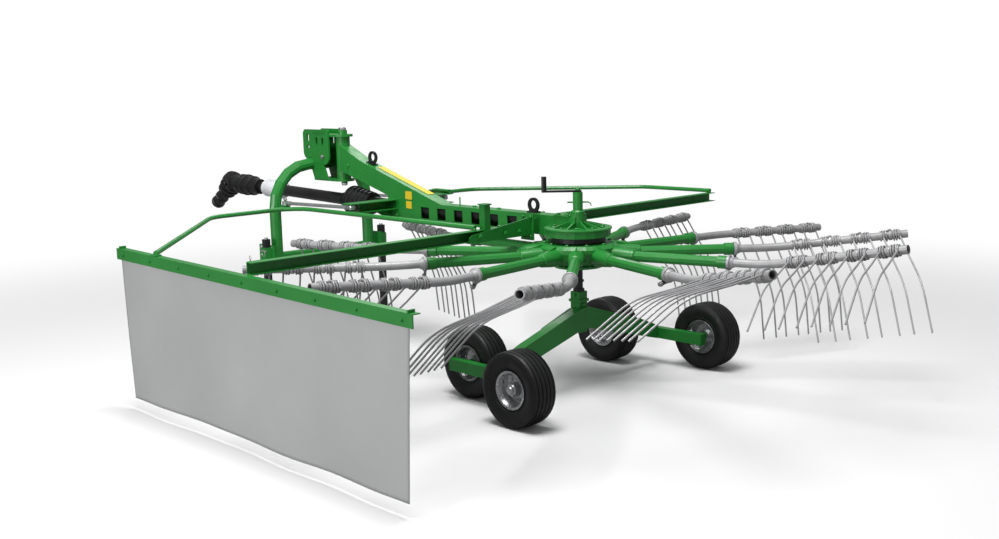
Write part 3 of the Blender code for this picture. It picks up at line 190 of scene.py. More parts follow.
# ---------------------------------------------------------------- materials
class Shade:
    """Builds one Principled material with noise-driven colour, roughness and bump."""

    def __init__(self, name, colour, roughness, metallic=0.0):
        self.material = bpy.data.materials.new(name)
        self.material.use_nodes = True
        self.tree = self.material.node_tree
        self.shader = self.tree.nodes["Principled BSDF"]
        self.shader.inputs["Base Color"].default_value = (*colour, 1)
        self.shader.inputs["Roughness"].default_value = roughness
        self.shader.inputs["Metallic"].default_value = metallic
        self.place = self.tree.nodes.new("ShaderNodeTexCoord").outputs["Object"]
        self.colour = colour
        self.height = None

    def noise(self, scale, detail=3.0, stretch=None):
        node = self.tree.nodes.new("ShaderNodeTexNoise")
        node.inputs["Scale"].default_value = scale
        node.inputs["Detail"].default_value = detail
        source = self.place
        if stretch:
            mapping = self.tree.nodes.new("ShaderNodeMapping")
            mapping.inputs["Scale"].default_value = stretch
            self.tree.links.new(source, mapping.inputs["Vector"])
            source = mapping.outputs["Vector"]
        self.tree.links.new(source, node.inputs["Vector"])
        return node.outputs["Fac"]

    def ramp(self, fac, low, high, colours):
        node = self.tree.nodes.new("ShaderNodeValToRGB")
        node.color_ramp.elements[0].position = low
        node.color_ramp.elements[1].position = high
        node.color_ramp.elements[0].color = (*colours[0], 1)
        node.color_ramp.elements[1].color = (*colours[1], 1)
        self.tree.links.new(fac, node.inputs["Fac"])
        return node.outputs["Color"]

    def tint(self, fac, low, high, dark, light):
        self.tree.links.new(self.ramp(fac, low, high, (dark, light)), self.shader.inputs["Base Color"])

    def rough(self, fac, low, high):
        node = self.tree.nodes.new("ShaderNodeMapRange")
        node.inputs["From Min"].default_value = 0.3
        node.inputs["From Max"].default_value = 0.7
        node.inputs["To Min"].default_value = low
        node.inputs["To Max"].default_value = high
        self.tree.links.new(fac, node.inputs["Value"])
        self.tree.links.new(node.outputs["Result"], self.shader.inputs["Roughness"])

    def bump(self, fac, strength, distance):
        node = self.tree.nodes.new("ShaderNodeBump")
        node.inputs["Strength"].default_value = strength
        node.inputs["Distance"].default_value = distance
        self.tree.links.new(fac, node.inputs["Height"])
        if self.height:
            self.tree.links.new(self.height, node.inputs["Normal"])
        self.height = node.outputs["Normal"]
        self.tree.links.new(self.height, self.shader.inputs["Normal"])


    def weave(self, pitch):
        """Crossed threads, as a height."""
        waves = []
        for direction in ("X", "Z"):
            node = self.tree.nodes.new("ShaderNodeTexWave")
            node.bands_direction = direction
            node.inputs["Scale"].default_value = 0.31 / pitch
            self.tree.links.new(self.place, node.inputs["Vector"])
            waves.append(node.outputs["Fac"])
        cross = self.tree.nodes.new("ShaderNodeMath")
        cross.operation = "MAXIMUM"
        self.tree.links.new(waves[0], cross.inputs[0])
        self.tree.links.new(waves[1], cross.inputs[1])
        return cross.outputs[0]


def scaled(colour, factor):
    return tuple(min(1.0, c * factor) for c in colour)


def painted(name, colour, roughness=0.32, coat=0.35):
    shade = Shade(name, colour, roughness)
    cloud = shade.noise(2.3, 4)
    shade.tint(cloud, 0.3, 0.7, scaled(colour, 0.86), scaled(colour, 1.12))
    shade.rough(shade.noise(14, 5), roughness - 0.06, roughness + 0.12)
    shade.bump(shade.noise(260, 2), 0.06, 0.0006)
    shade.shader.inputs["Coat Weight"].default_value = coat
    shade.shader.inputs["Coat Roughness"].default_value = 0.12
    return shade.material


def plated(name, colour, roughness=0.38, metallic=0.85):
    shade = Shade(name, colour, roughness, metallic)
    shade.tint(shade.noise(9, 5), 0.3, 0.7, scaled(colour, 0.8), scaled(colour, 1.15))
    shade.rough(shade.noise(60, 4), roughness - 0.1, roughness + 0.15)
    shade.bump(shade.noise(420, 2), 0.1, 0.0004)
    return shade.material


def moulded(name, colour, roughness=0.5):
    shade = Shade(name, colour, roughness)
    shade.tint(shade.noise(6, 4), 0.3, 0.7, scaled(colour, 0.8), scaled(colour, 1.25))
    shade.rough(shade.noise(30, 4), roughness - 0.08, roughness + 0.12)
    shade.bump(shade.noise(500, 2), 0.12, 0.0005)
    return shade.material


def make_materials():
    made = {
        "green_paint": painted("green_paint", (0.014, 0.215, 0.028), 0.36, 0.12),
        "black_paint": painted("black_paint", (0.007, 0.007, 0.008), 0.4, 0.1),
        "zinc": plated("zinc", (0.58, 0.59, 0.60), 0.30, 0.9),
        "grey_paint": plated("grey_paint", (0.36, 0.36, 0.365), 0.45, 0.2),
        "rubber": moulded("rubber", (0.0035, 0.0035, 0.0037), 0.5),
        "black_plastic": moulded("black_plastic", (0.005, 0.005, 0.0053), 0.4),
        "pale_plastic": moulded("pale_plastic", (0.66, 0.67, 0.70), 0.4),
        "yellow_paint": painted("yellow_paint", (0.70, 0.52, 0.02), 0.45, 0.0),
    }
    cloth = Shade("canvas", (0.40, 0.405, 0.405), 0.55)
    cloth.tint(cloth.noise(1.6, 5), 0.25, 0.75, (0.365, 0.37, 0.37), (0.43, 0.435, 0.435))
    cloth.bump(cloth.noise(3.5, 3), 0.25, 0.006)
    weave = cloth.weave(0.0016)
    cloth.bump(weave, 0.25, 0.0003)
    made["canvas"] = cloth.material
    return made


MATERIALS = make_materials()


# ---------------------------------------------------------------- mesh tools
def frame_of(axis):
    """Two directions across an axis."""
    axis = Vector(axis).normalized()
    side = axis.orthogonal().normalized()
    return axis, side, axis.cross(side)


def lathe(bm, profile, centre, axis, sides=32, closed=True):
    """Spins (radius, along) points about an axis; closed joins the last point to the first."""
    centre = Vector(centre)
    axis, side, up = frame_of(axis)
    rings = []
    for k in range(sides):
        angle = math.tau * k / sides
        out = side * math.cos(angle) + up * math.sin(angle)
        rings.append([bm.verts.new(centre + out * r + axis * a) for r, a in profile])
    count = len(profile)
    for k in range(sides):
        ring, after = rings[k], rings[(k + 1) % sides]
        for i in range(count if closed else count - 1):
            n = (i + 1) % count
            bm.faces.new((ring[i], after[i], after[n], ring[n]))
    if not closed:
        bm.faces.new([ring[0] for ring in rings])
        bm.faces.new([ring[-1] for ring in reversed(rings)])


def tube(bm, points, radius, sides=12, open_end=0.0):
    """A round bar along points; open_end > 0 makes a pipe's mouth that deep at the last point."""
    points = [Vector(p) for p in points]
    tangent = (points[1] - points[0]).normalized()
    side = tangent.orthogonal().normalized()
    rings = []

    def ring_at(centre, reach):
        up = tangent.cross(side)
        angles = [math.tau * k / sides for k in range(sides)]
        return [bm.verts.new(centre + (side * math.cos(a) + up * math.sin(a)) * reach) for a in angles]

    for i, point in enumerate(points):
        new = (points[min(i + 1, len(points) - 1)] - points[max(i - 1, 0)]).normalized()
        side = (tangent.rotation_difference(new) @ side).normalized()
        tangent = new
        rings.append(ring_at(point, radius))
    if open_end:
        rings.append(ring_at(points[-1], radius * 0.8))
        rings.append(ring_at(points[-1] - tangent * open_end, radius * 0.8))
    for a, b in zip(rings, rings[1:]):
        for k in range(sides):
            n = (k + 1) % sides
            bm.faces.new((a[k], a[n], b[n], b[k]))
    bm.faces.new(list(reversed(rings[0])))
    bm.faces.new(rings[-1])


def prism(bm, outline, origin, u, v, thickness):
    """A plate: an outline of (along u, along v) points, thickened across."""
    origin, u, v = Vector(origin), Vector(u), Vector(v)
    across = u.cross(v).normalized() * thickness
    low = [bm.verts.new(origin + u * a + v * b) for a, b in outline]
    high = [bm.verts.new(vert.co + across) for vert in low]
    count = len(outline)
    bm.faces.new(list(reversed(low)))
    bm.faces.new(high)
    for k in range(count):
        n = (k + 1) % count
        bm.faces.new((low[k], low[n], high[n], high[k]))


def brick(bm, low, high, bevel=0.0015):
    """A box with softened edges."""
    made = bmesh.ops.create_cube(bm, size=1.0)["verts"]
    low, high = Vector(low), Vector(high)
    for vert in made:
        vert.co = Vector((vert.co[i] + 0.5) * (high[i] - low[i]) + low[i] for i in range(3))
    edges = list({edge for vert in made for edge in vert.link_edges})
    bmesh.ops.bevel(bm, geom=edges, offset=bevel, segments=2, affect="EDGES", profile=0.7)


def bolt(bm, centre, axis, radius=0.007, grip=0.0, nut=True):
    """A washer and hexagon head at centre, facing axis; with grip, also a nut on the far side."""
    centre = Vector(centre)
    unit = Vector(axis).normalized()
    lathe(bm, ((0.001, 0), (radius * 1.9, 0), (radius * 1.9, radius * 0.25),
               (0.001, radius * 0.25)), centre, unit, 16)
    lathe(bm, ((0.001, radius * 0.2), (radius * 1.55, radius * 0.2), (radius * 1.55, radius * 1.1),
               (radius * 1.3, radius * 1.35), (0.001, radius * 1.35)), centre, unit, 6)
    if grip:
        far = centre - unit * grip
        lathe(bm, ((0.001, 0), (radius * 1.55, 0), (radius * 1.55, radius), (0.001, radius)), far, -unit, 6)
        if nut:
            tube(bm, (far, far - unit * radius * 1.8), radius * 0.8, 8)


def helix(centre, axis, radius, pitch, turns, steps=12, start=0.0):
    """Points of a coil round an axis."""
    axis, side, up = frame_of(axis)
    points = []
    for k in range(int(turns * steps) + 1):
        angle = start + math.tau * k / steps
        out = side * math.cos(angle) + up * math.sin(angle)
        points.append(Vector(centre) + out * radius + axis * (pitch * k / steps))
    return points


def piece(name, bm, slot, body, replaces=(), look=None, angle=40):
    """Makes a finished piece that rides on a body, with its slot's material."""
    bmesh.ops.recalc_face_normals(bm, faces=bm.faces)
    mesh = bpy.data.meshes.new(name)
    bm.to_mesh(mesh)
    bm.free()
    mesh.materials.append(MATERIALS[look or slot])
    mesh.shade_smooth()
    mesh.set_sharp_from_angle(angle=math.radians(angle))
    item = bpy.data.objects.new(name, mesh)
    bpy.context.scene.collection.objects.link(item)
    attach(item, body)
    if replaces:
        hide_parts(*replaces)
    return item


def arc(cx, cz, radius, first, last, steps):
    """Points on an arc, angles in degrees."""
    angles = [math.radians(first + (last - first) * k / steps) for k in range(steps + 1)]
    return [(cx + radius * math.cos(a), cz + radius * math.sin(a)) for a in angles]


# ---------------------------------------------------------------- wheels
TYRE_RADIUS = 0.185
TYRE_HALF = 0.075
GROOVES = (-0.050, -0.025, 0.0, 0.025, 0.050)
GROOVE_HALF = 0.0028
GROOVE_DEPTH = 0.006


def tread_height(across):
    """The tyre's radius at a distance from its middle plane."""
    share = abs(across) / TYRE_HALF
    return TYRE_RADIUS * (1.0 - 0.014 * share ** 2 - 0.05 * share ** 6)


def tyre_profile():
    """(radius, along): bead, sidewall, then the ribbed tread and back."""
    wall = [(0.0875, 0.048), (0.094, 0.056), (0.104, 0.060), (0.107, 0.0635), (0.110, 0.0625),
            (0.122, 0.0675),
            (0.138, 0.0730), (0.152, 0.0750), (0.163, 0.0738), (0.171, 0.0700)]
    tread = []
    edges = [0.0655] + [g for middle in reversed(GROOVES) for g in (middle + GROOVE_HALF,
            middle - GROOVE_HALF)]
    tread.append((tread_height(edges[0]), edges[0]))
    for start, end in zip(edges[1::2], edges[2::2]):
        top = tread_height((start + end) / 2)
        tread += [(top, start), (top - GROOVE_DEPTH, start - 0.0006),
                  (top - GROOVE_DEPTH, end + 0.0006), (top, end)]
        tread.append((tread_height(end - 0.008), end - 0.009))
    tread = tread[:-1]
    mirror = [(r, -a) for r, a in reversed(wall)]
    return wall + tread + [(tread_height(0.0655), -0.0655)] + mirror


def make_wheel(name):
    """Ribbed tyre, dished rim with its nuts, hub cap and valve."""
    centre = Vector(JOINTS[f"wheel_{name}_spin"]["pos_m"])
    outward = 1 if centre.y > MACHINE.y else -1
    if name.startswith("front"):
        outward = -outward
    axis = Vector((0, outward, 0))
    body = "wheel_" + name
    bm = bmesh.new()
    lathe(bm, tyre_profile(), centre, axis, 72)
    piece("tyre_detail_" + name, bm, "rubber", body, ("tyre_" + name,), angle=30)
    bm = bmesh.new()
    rim = ((0.0865, -0.052), (0.092, -0.056), (0.0945, -0.060), (0.0905, -0.0625), (0.083, -0.058),
           (0.078, -0.046),
           (0.072, -0.036), (0.070, 0.000), (0.060, 0.004), (0.046, 0.010), (0.034, 0.012), (0.0315, 0.016),
           (0.030, 0.048), (0.026, 0.053), (0.0195, 0.053), (0.0195, -0.028), (0.031, -0.028),
           (0.033, 0.004),
           (0.045, 0.002), (0.060, -0.004), (0.066, -0.006))
    front = ((0.069, 0.006), (0.072, 0.036), (0.078, 0.046), (0.083, 0.058), (0.0905, 0.0625),
             (0.0945, 0.060),
             (0.092, 0.056), (0.0865, 0.052))
    lathe(bm, rim[:8] + front[:1] + rim[8:10] + rim[10:], centre, axis, 48)
    lathe(bm, front + ((0.0862, 0.052), (0.0862, -0.052)) + rim[1:8], centre, axis, 48)
    side = Vector((0, 0, 1))
    for k in range(4):
        turn = Matrix.Rotation(math.radians(45 + 90 * k), 3, "Y")
        spot = centre + turn @ side * 0.052 + axis * 0.008
        bolt(bm, spot, axis, 0.0052)
    lathe(bm, ((0.001, 0.052), (0.0195, 0.052), (0.0195, 0.060), (0.016, 0.065), (0.001, 0.067)),
          centre, axis, 24)
    stem = centre + Matrix.Rotation(math.radians(20), 3, "Y") @ side * 0.066
    tube(bm, (stem + axis * 0.002, stem + axis * 0.022, stem + axis * 0.034), 0.0042, 8)
    piece("rim_detail_" + name, bm, "zinc", body, ("rim_" + name,), angle=28)


# ---------------------------------------------------------------- tine arms
ARM_COUNT = 11
FIRST_ARM_ANGLE = -66.7
TINE_LIFT = (0, 0, 27, 48.5, 50.5, 34.5, 20, 2, 0, 0, 0)
ARM_END = 0.825
CARRIER_BEND_AT = 1.03
CARRIER_END = 1.706
CARRIER_TURN = math.radians(14.5)
CARRIER_RADIUS = 0.021
CLAMPS = tuple(1.180 + (1.622 - 1.180) * k / 3 for k in range(4))
PRONG_SPREAD = 0.042
PRONG_RADIUS = 0.0047
COIL_TURNS = 2.4


def carrier_point(outward):
    """A smooth bend from the straight part to the swept-back part."""
    blend = 0.10
    x = outward - CARRIER_BEND_AT
    if x <= -blend:
        back = 0.0
    elif x >= blend:
        back = x
    else:
        back = (x + blend) ** 2 / (4 * blend)
    return Vector((outward, -back * math.tan(CARRIER_TURN), 0))


def prong_points(foot):
    """One tine: straight and trailing, then bent down, with a soft bend."""
    bend, end = Vector((0, -0.205, -0.325)), Vector((0, -0.237, -0.590))
    start = Vector((0, -0.020, -0.018))
    points = [start, bend * 0.45]
    before, after = bend * 0.78, bend.lerp(end, 0.30)
    for k in range(6):
        t = k / 5
        points.append(before.lerp(bend, t).lerp(bend.lerp(after, t), t))
    points.append(end)
    return [foot + p for p in points]


def tine_arm_mesh():
    """Carrier pipe, flange with bolts, collars, coil springs and tines; outward along X, trailing along -Y."""
    bm = bmesh.new()
    outs = [ARM_END + 0.004, 0.90, 0.93] + [0.93 + 0.2 * k / 8 for k in range(1, 9)] + [1.4, CARRIER_END]
    tube(bm, [carrier_point(x) for x in outs], CARRIER_RADIUS, 20, open_end=0.15)
    out = Vector((1, 0, 0))
    lathe(bm, ((0.020, 0.0), (0.036, 0.0), (0.0375, 0.002), (0.0375, 0.014), (0.036, 0.016), (0.030, 0.017),
               (0.0235, 0.034), (0.020, 0.036)), (ARM_END + 0.0004, 0, 0), out, 28)
    ear = [(math.cos(a) * 0.036,
            math.sin(a) * 0.036) for a in [math.radians(40 + 28 * k) for k in range(11)]]
    ear += [(-0.010, -0.052)]
    ear += [(0.014 * math.cos(a),
             -0.058 + 0.014 * math.sin(a)) for a in [math.radians(200 + 28 * k) for k in range(6)]]
    prism(bm, ear, (ARM_END + 0.0035, 0, 0), (0, 1, 0), (0, 0, 1), 0.009)
    bolt(bm, (ARM_END + 0.0130, 0, -0.058), out, 0.0058)
    along = Vector((math.cos(CARRIER_TURN), -math.sin(CARRIER_TURN), 0))
    for x in CLAMPS:
        centre = carrier_point(x)
        lathe(bm, ((0.0205, -0.008), (0.0255, -0.008), (0.0260, -0.007), (0.0260, 0.007),
                   (0.0255, 0.008), (0.0205, 0.008)),
              centre, along, 20)
        bolt(bm, centre + Vector((0, 0, 0.0272)), (0, 0, 1), 0.0050)
        for side in (-1, 1):
            coil_end = centre + along * side * PRONG_SPREAD
            first = centre + along * side * 0.0125
            pitch = (PRONG_SPREAD - 0.0125) / COIL_TURNS
            points = helix(first, along * side, 0.0268, pitch, COIL_TURNS, 12, math.pi * 0.5)
            tube(bm, points, PRONG_RADIUS, 6)
            tube(bm, prong_points(coil_end), PRONG_RADIUS, 8)
            ring = coil_end + along * side * 0.0045
            lathe(bm, ((0.0205, -0.004), (0.0275, -0.004), (0.0275, 0.002), (0.0205, 0.002)), ring,
                  along, 20)
    return bm


def make_tine_arms():
    pattern = tine_arm_mesh()
    for index, lift in enumerate(TINE_LIFT):
        bm = pattern.copy()
        angle = math.radians(FIRST_ARM_ANGLE) - index * math.tau / ARM_COUNT
        place = (Matrix.Translation(ROTOR) @ Matrix.Rotation(angle, 4, "Z")
                 @ Matrix.Rotation(-math.radians(lift), 4, "X"))
        bmesh.ops.transform(bm, verts=bm.verts, matrix=place)
        name = f"tine_arm_{index + 1:02d}"
        piece(name + "_detail", bm, "grey_paint", "rotor", (name,), angle=35)
    pattern.free()


# ---------------------------------------------------------------- rotor and cover
def make_hub_detail():
    """Ribs on the bell, conical sockets round the arm tubes, and end collars."""
    bm = bmesh.new()
    for index in range(ARM_COUNT):
        angle = math.radians(FIRST_ARM_ANGLE) - index * math.tau / ARM_COUNT
        out = Vector((math.cos(angle), math.sin(angle), 0))
        lathe(bm, ((0.0277, 0.17), (0.046, 0.17), (0.043, 0.25), (0.0335, 0.325), (0.0277, 0.33)),
              ROTOR, out, 24)
        lathe(bm, ((0.0277, 0.775), (0.0325, 0.777), (0.0325, 0.822), (0.0277, 0.824)), ROTOR, out, 24)
        prism(bm, ((0.175, 0.030), (0.34, 0.0265), (0.205, 0.056), (0.180, 0.058)),
              ROTOR - out.cross(Vector((0, 0, 1))) * 0.004, out, (0, 0, 1), 0.008)
    for k in range(2 * ARM_COUNT):
        angle = math.radians(FIRST_ARM_ANGLE + 8) + k * math.tau / (2 * ARM_COUNT)
        out = Vector((math.cos(angle), math.sin(angle), 0))
        prism(bm, ((0.155, -0.055), (0.208, -0.012), (0.212, 0.018), (0.155, -0.02)),
              ROTOR - out.cross(Vector((0, 0, 1))) * 0.003, out, (0, 0, 1), 0.006)
    lathe(bm, ((0.10, -0.072), (0.128, -0.072), (0.136, -0.058), (0.10, -0.058)), ROTOR, (0, 0, 1), 48)
    piece("hub_ribs", bm, "green_paint", "rotor", angle=30)
    bm = bmesh.new()
    for k in range(ARM_COUNT):
        angle = math.radians(FIRST_ARM_ANGLE + 16.4) + k * math.tau / ARM_COUNT
        spot = ROTOR + Vector((math.cos(angle) * 0.180, math.sin(angle) * 0.180, 0.058))
        bolt(bm, spot, (0, 0, 1), 0.006)
    piece("hub_bolts", bm, "green_paint", "rotor")


def make_cover_detail():
    """The cover's rim bead, gussets against the neck, flange bolts and the post's crank details."""
    bm = bmesh.new()
    top = at(0, 0, 0.852)
    lathe(bm, ((0.1722, -0.010), (0.1765, -0.010), (0.1785, -0.005), (0.1765, 0.001),
               (0.150, 0.003), (0.146, 0.0002)),
          top, (0, 0, 1), 64)
    for degrees in (70, 110, 150, 180, 210, 250, 290):
        out = Vector((math.cos(math.radians(degrees)), math.sin(math.radians(degrees)), 0))
        across = out.cross(Vector((0, 0, 1))) * 0.004
        prism(bm, ((0.040, 0.002), (0.150, 0.002), (0.140, 0.008), (0.041, 0.032)), top - across,
              out, (0, 0, 1), 0.008)
    brick(bm, at(0.02, -0.052, 0.9052), at(0.13, 0.052, 0.913))
    lathe(bm, ((0.0265, 0), (0.036, 0), (0.036, 0.010), (0.030, 0.016), (0.0265, 0.016)),
          at(0, 0, 0.924), (0, 0, 1), 32)
    piece("cover_ribs", bm, "green_paint", "frame", angle=30)
    bm = bmesh.new()
    for degrees in range(20, 380, 36):
        turn = math.radians(degrees)
        bolt(bm, top + Vector((math.cos(turn) * 0.135, math.sin(turn) * 0.135, 0.0006)), (0, 0, 1), 0.006)
    for x in (0.045, 0.105):
        for y in (-0.038, 0.038):
            bolt(bm, at(x, y, 0.9132), (0, 0, 1), 0.0065)
    bolt(bm, at(0, 0, 1.0457), (0, 0, 1), 0.007)
    tube(bm, (at(-0.036, -0.036, 0.982), at(-0.046, -0.046, 0.976), at(-0.050, -0.050, 0.962)), 0.003, 8)
    piece("cover_bolts", bm, "green_paint", "frame")


# ---------------------------------------------------------------- curtain
CURTAIN_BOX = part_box("swath_curtain")
CURTAIN_COLUMNS = 120
CURTAIN_ROWS = 44


def make_curtain():
    """The coated cloth: hung from the rail by its hem, with slight folds that grow towards its lower edge."""
    low, high = CURTAIN_BOX
    rear_top, front_top = at(-0.835, 0, 0).x, at(1.425, 0, 0).x
    rear_low, front_low = at(-0.805, 0, 0).x, at(1.390, 0, 0).x
    middle = (low.y + high.y) / 2
    slope = (0.822 - 0.789) / (1.457 + 0.863)
    bm = bmesh.new()
    rows = []
    for r in range(CURTAIN_ROWS + 1):
        down = r / CURTAIN_ROWS
        row = []
        for c in range(CURTAIN_COLUMNS + 1):
            along = c / CURTAIN_COLUMNS
            top_x = rear_top + (front_top - rear_top) * along
            low_x = rear_low + (front_low - rear_low) * along
            top_z = 0.789 + (top_x - MACHINE.x + 0.863) * slope - 0.0055
            low_z = low.z + 0.004 + 0.008 * (0.5 + 0.5 * math.sin(along * 9.0 + 0.6)) * (0.3 + 0.7 * along)
            sway = down ** 1.3
            fold = 0.0085 * math.sin(along * 6.3 + 0.9) + 0.0050 * math.sin(along * 15.7 + down * 1.4)
            fold += 0.0040 * math.sin(along * 38.0 - down * 2.2) * math.exp(-3.0 * down)
            fold += 0.0030 * math.sin(along * 25.0 + down * 5.0) * down
            y = middle + fold * (0.15 + 0.85 * sway)
            row.append(bm.verts.new((top_x + (low_x - top_x) * down, y, top_z + (low_z - top_z) * down)))
        rows.append(row)
    for a, b in zip(rows, rows[1:]):
        for k in range(CURTAIN_COLUMNS):
            bm.faces.new((a[k], a[k + 1], b[k + 1], b[k]))
    cloth = piece("curtain_cloth", bm, "canvas", "curtain", ("swath_curtain",), angle=60)
    solid = cloth.modifiers.new("thickness", "SOLIDIFY")
    solid.thickness = 0.0025
    solid.offset = 0.0


def make_rail_detail():
    """The bolts that hold the curtain, the rail's end stops and the hoop's clip."""
    slope = (0.822 - 0.789) / (1.457 + 0.863)
    outer = at(0, 1.835, 0).y
    bm = bmesh.new()
    for k in range(9):
        x = -0.80 + 2.19 * k / 8
        z = 0.789 + (x + 0.863) * slope - 0.030
        bolt(bm, (at(x, 0, 0).x, outer + 0.0002, z), (0, 1, 0), 0.0045)
    piece("rail_bolts", bm, "green_paint", "curtain")
    bm = bmesh.new()
    for x in (-0.833, 1.426):
        z = 0.789 + (x + 0.863) * slope
        brick(bm, at(x - 0.004, 1.800, z + 0.0004), at(x + 0.004, 1.8345, z + 0.012))
    z = 0.789 + (1.07 + 0.863) * slope
    brick(bm, at(1.055, 1.800, z + 0.0004), at(1.105, 1.834, z + 0.006))
    piece("rail_stops", bm, "green_paint", "curtain")


# ---------------------------------------------------------------- beam, headstock and shaft
def make_beam_detail():
    """Stripe and blank plates on the beam, bolts, and a black guard over the shaft with black blocks behind the
    windows, painted shade that keeps the windows dark inside.
    """
    bm = bmesh.new()
    start, end = at(1.20, 0, 0.953), at(1.68, 0, 1.097)
    run = (end - start).normalized()
    prism(bm, ((0, -0.043), (0.50, -0.043), (0.50, 0.006), (0, 0.006)), start + Vector((0, 0, 0.0016)),
          run, (0, 1, 0), 0.0012)
    for x, z, w, h in ((1.335, 0.945, 0.060, 0.048), (1.335, 0.888, 0.052, 0.044)):
        prism(bm, ((-w / 2, -h / 2), (w / 2, -h / 2), (w / 2, h / 2), (-w / 2, h / 2)), at(x, 0.0464, z),
              (1, 0, 0), (0, 0, 1), -0.0012)
        prism(bm, ((-w / 2, -h / 2), (w / 2, -h / 2), (w / 2, h / 2), (-w / 2, h / 2)), at(x, -0.0452, z),
              (1, 0, 0), (0, 0, 1), -0.0012)
    piece("beam_stickers", bm, "green_paint", "frame", look="yellow_paint")
    bm = bmesh.new()
    for side in (1, -1):
        for x in (1.15, 1.45):
            for z in (0.822, 0.905):
                if x > 1.2:
                    bolt(bm, at(x - 0.005, side * (0.0455 + 0.006), z - 0.002), (0, side, 0), 0.006)
        bolt(bm, at(1.93, side * 0.0452, 1.10), (0, side, 0), 0.007)
    for x in (0.60, 0.80):
        bolt(bm, at(x, 0, 0.9052), (0, 0, 1), 0.007)
    tube(bm, (at(0.925, 0, 0.905), at(0.925, 0, 0.955)), 0.004, 8)
    piece("beam_bolts", bm, "green_paint", "frame")
    bm = bmesh.new()
    # Black guard tube over the shaft: partly a real shaft guard, partly painted shade that darkens the windows.
    lathe(bm, ((0.0205, 0.30), (0.0345, 0.30), (0.0345, 1.52), (0.0205, 1.52)), at(0, 0, 0.862),
          (1, 0, 0), 32)
    # Black blocks behind each window: painted shade that keeps the windows dark inside.
    for k in range(7):
        x = 1.264 - 0.148 * k
        brick(bm, at(x - 0.020, -0.038, 0.8035), at(x + 0.020, 0.038, 0.898))
    piece("shaft_guard_and_painted_window_shade", bm, "black_plastic", "frame", ("drive_shaft",))


def make_headstock_detail():
    """Pins, bolts, stiffeners and linch pins on the headstock and its legs."""
    green = bmesh.new()
    for side in (1, -1):
        for x, z in ((2.325, 1.150), (2.165, 1.150)):
            centre = at(x, side * 0.0722, z)
            lathe(green, ((0.001, 0), (0.016, 0), (0.016, 0.004), (0.001, 0.004)), centre, (0, side, 0), 20)
        strip = ((0, 0), (0.12, 0), (0.12, 0.010), (0, 0.010))
        prism(green, strip, at(2.14, side * 0.0722 if side > 0 else -0.0762, 1.306), (1, 0, 0),
              (0, 0, 1), -0.004)
    piece("headstock_pads", green, "green_paint", "headstock")
    bm = bmesh.new()
    lathe(bm, ((0.001, 0), (0.024, 0), (0.025, 0.012), (0.018, 0.018), (0.001, 0.019)),
          at(2.04, 0, 1.3215), (0, 0, 1), 6)
    bolt(bm, at(2.04, 0, 0.9828), (0, 0, -1), 0.012)
    for side in (1, -1):
        bolt(bm, at(2.165, side * 0.0765, 1.150), (0, side, 0), 0.0075)
        plate = side * 0.4362
        for x, z in ((2.262, 0.455), (2.262, 0.585), (2.372, 0.585)):
            bolt(bm, at(x, plate, z), (0, side, 0), 0.0065)
        stand_y = side * 0.4606
        bolt(bm, at(2.275, stand_y, 0.6452), (0, 0, 1), 0.008)
        ring = helix(at(2.275, stand_y + side * 0.0255, 0.556), (0, 1, 0), 0.018, 0, 1, 20)
        tube(bm, ring, 0.002, 6)
        tube(bm, (at(2.248, stand_y + side * 0.020, 0.572), at(2.302, stand_y + side * 0.026,
                0.572)), 0.005, 10)
        pin = at(2.365, side * (0.424 + 0.105), 0.490)
        tube(bm, (pin + Vector((0, 0, 0.024)), pin - Vector((0, 0, 0.022))), 0.004, 8)
        tube(bm, [pin + p for p in (Vector((0.010 * math.cos(a), 0, 0.024 + 0.012 + 0.012 * math.sin(a)))
                                     for a in [math.tau * k / 16 for k in range(17)])], 0.002, 6)
        front = at(2.245, side * 0.322, 0.866 + 0.021)
        bolt(bm, front, (0, 0, 1), 0.0075)
    piece("headstock_fittings", bm, "zinc", "headstock")


def make_strut_detail():
    """Rear pins of the stabilisers with their nuts."""
    for name, side in (("left", 1), ("right", -1)):
        bm = bmesh.new()
        rear = at(1.480, side * 0.362, 0.890)
        lathe(bm, ((0.0115, -0.012), (0.0205, -0.012), (0.0215, -0.009), (0.0215, 0.009), (0.0205, 0.012),
                   (0.0115, 0.012)), rear, (0, 0, 1), 28)
        toward = (at(2.245, side * 0.322, 0.866) - rear).normalized()
        for distance in (0.045, 0.70):
            lathe(bm, ((0.0112, 0), (0.015, 0), (0.015, 0.020), (0.0112, 0.020)),
                  rear + toward * distance, toward, 6)
        piece("stabiliser_ends_" + name, bm, "zinc", "strut_" + name)


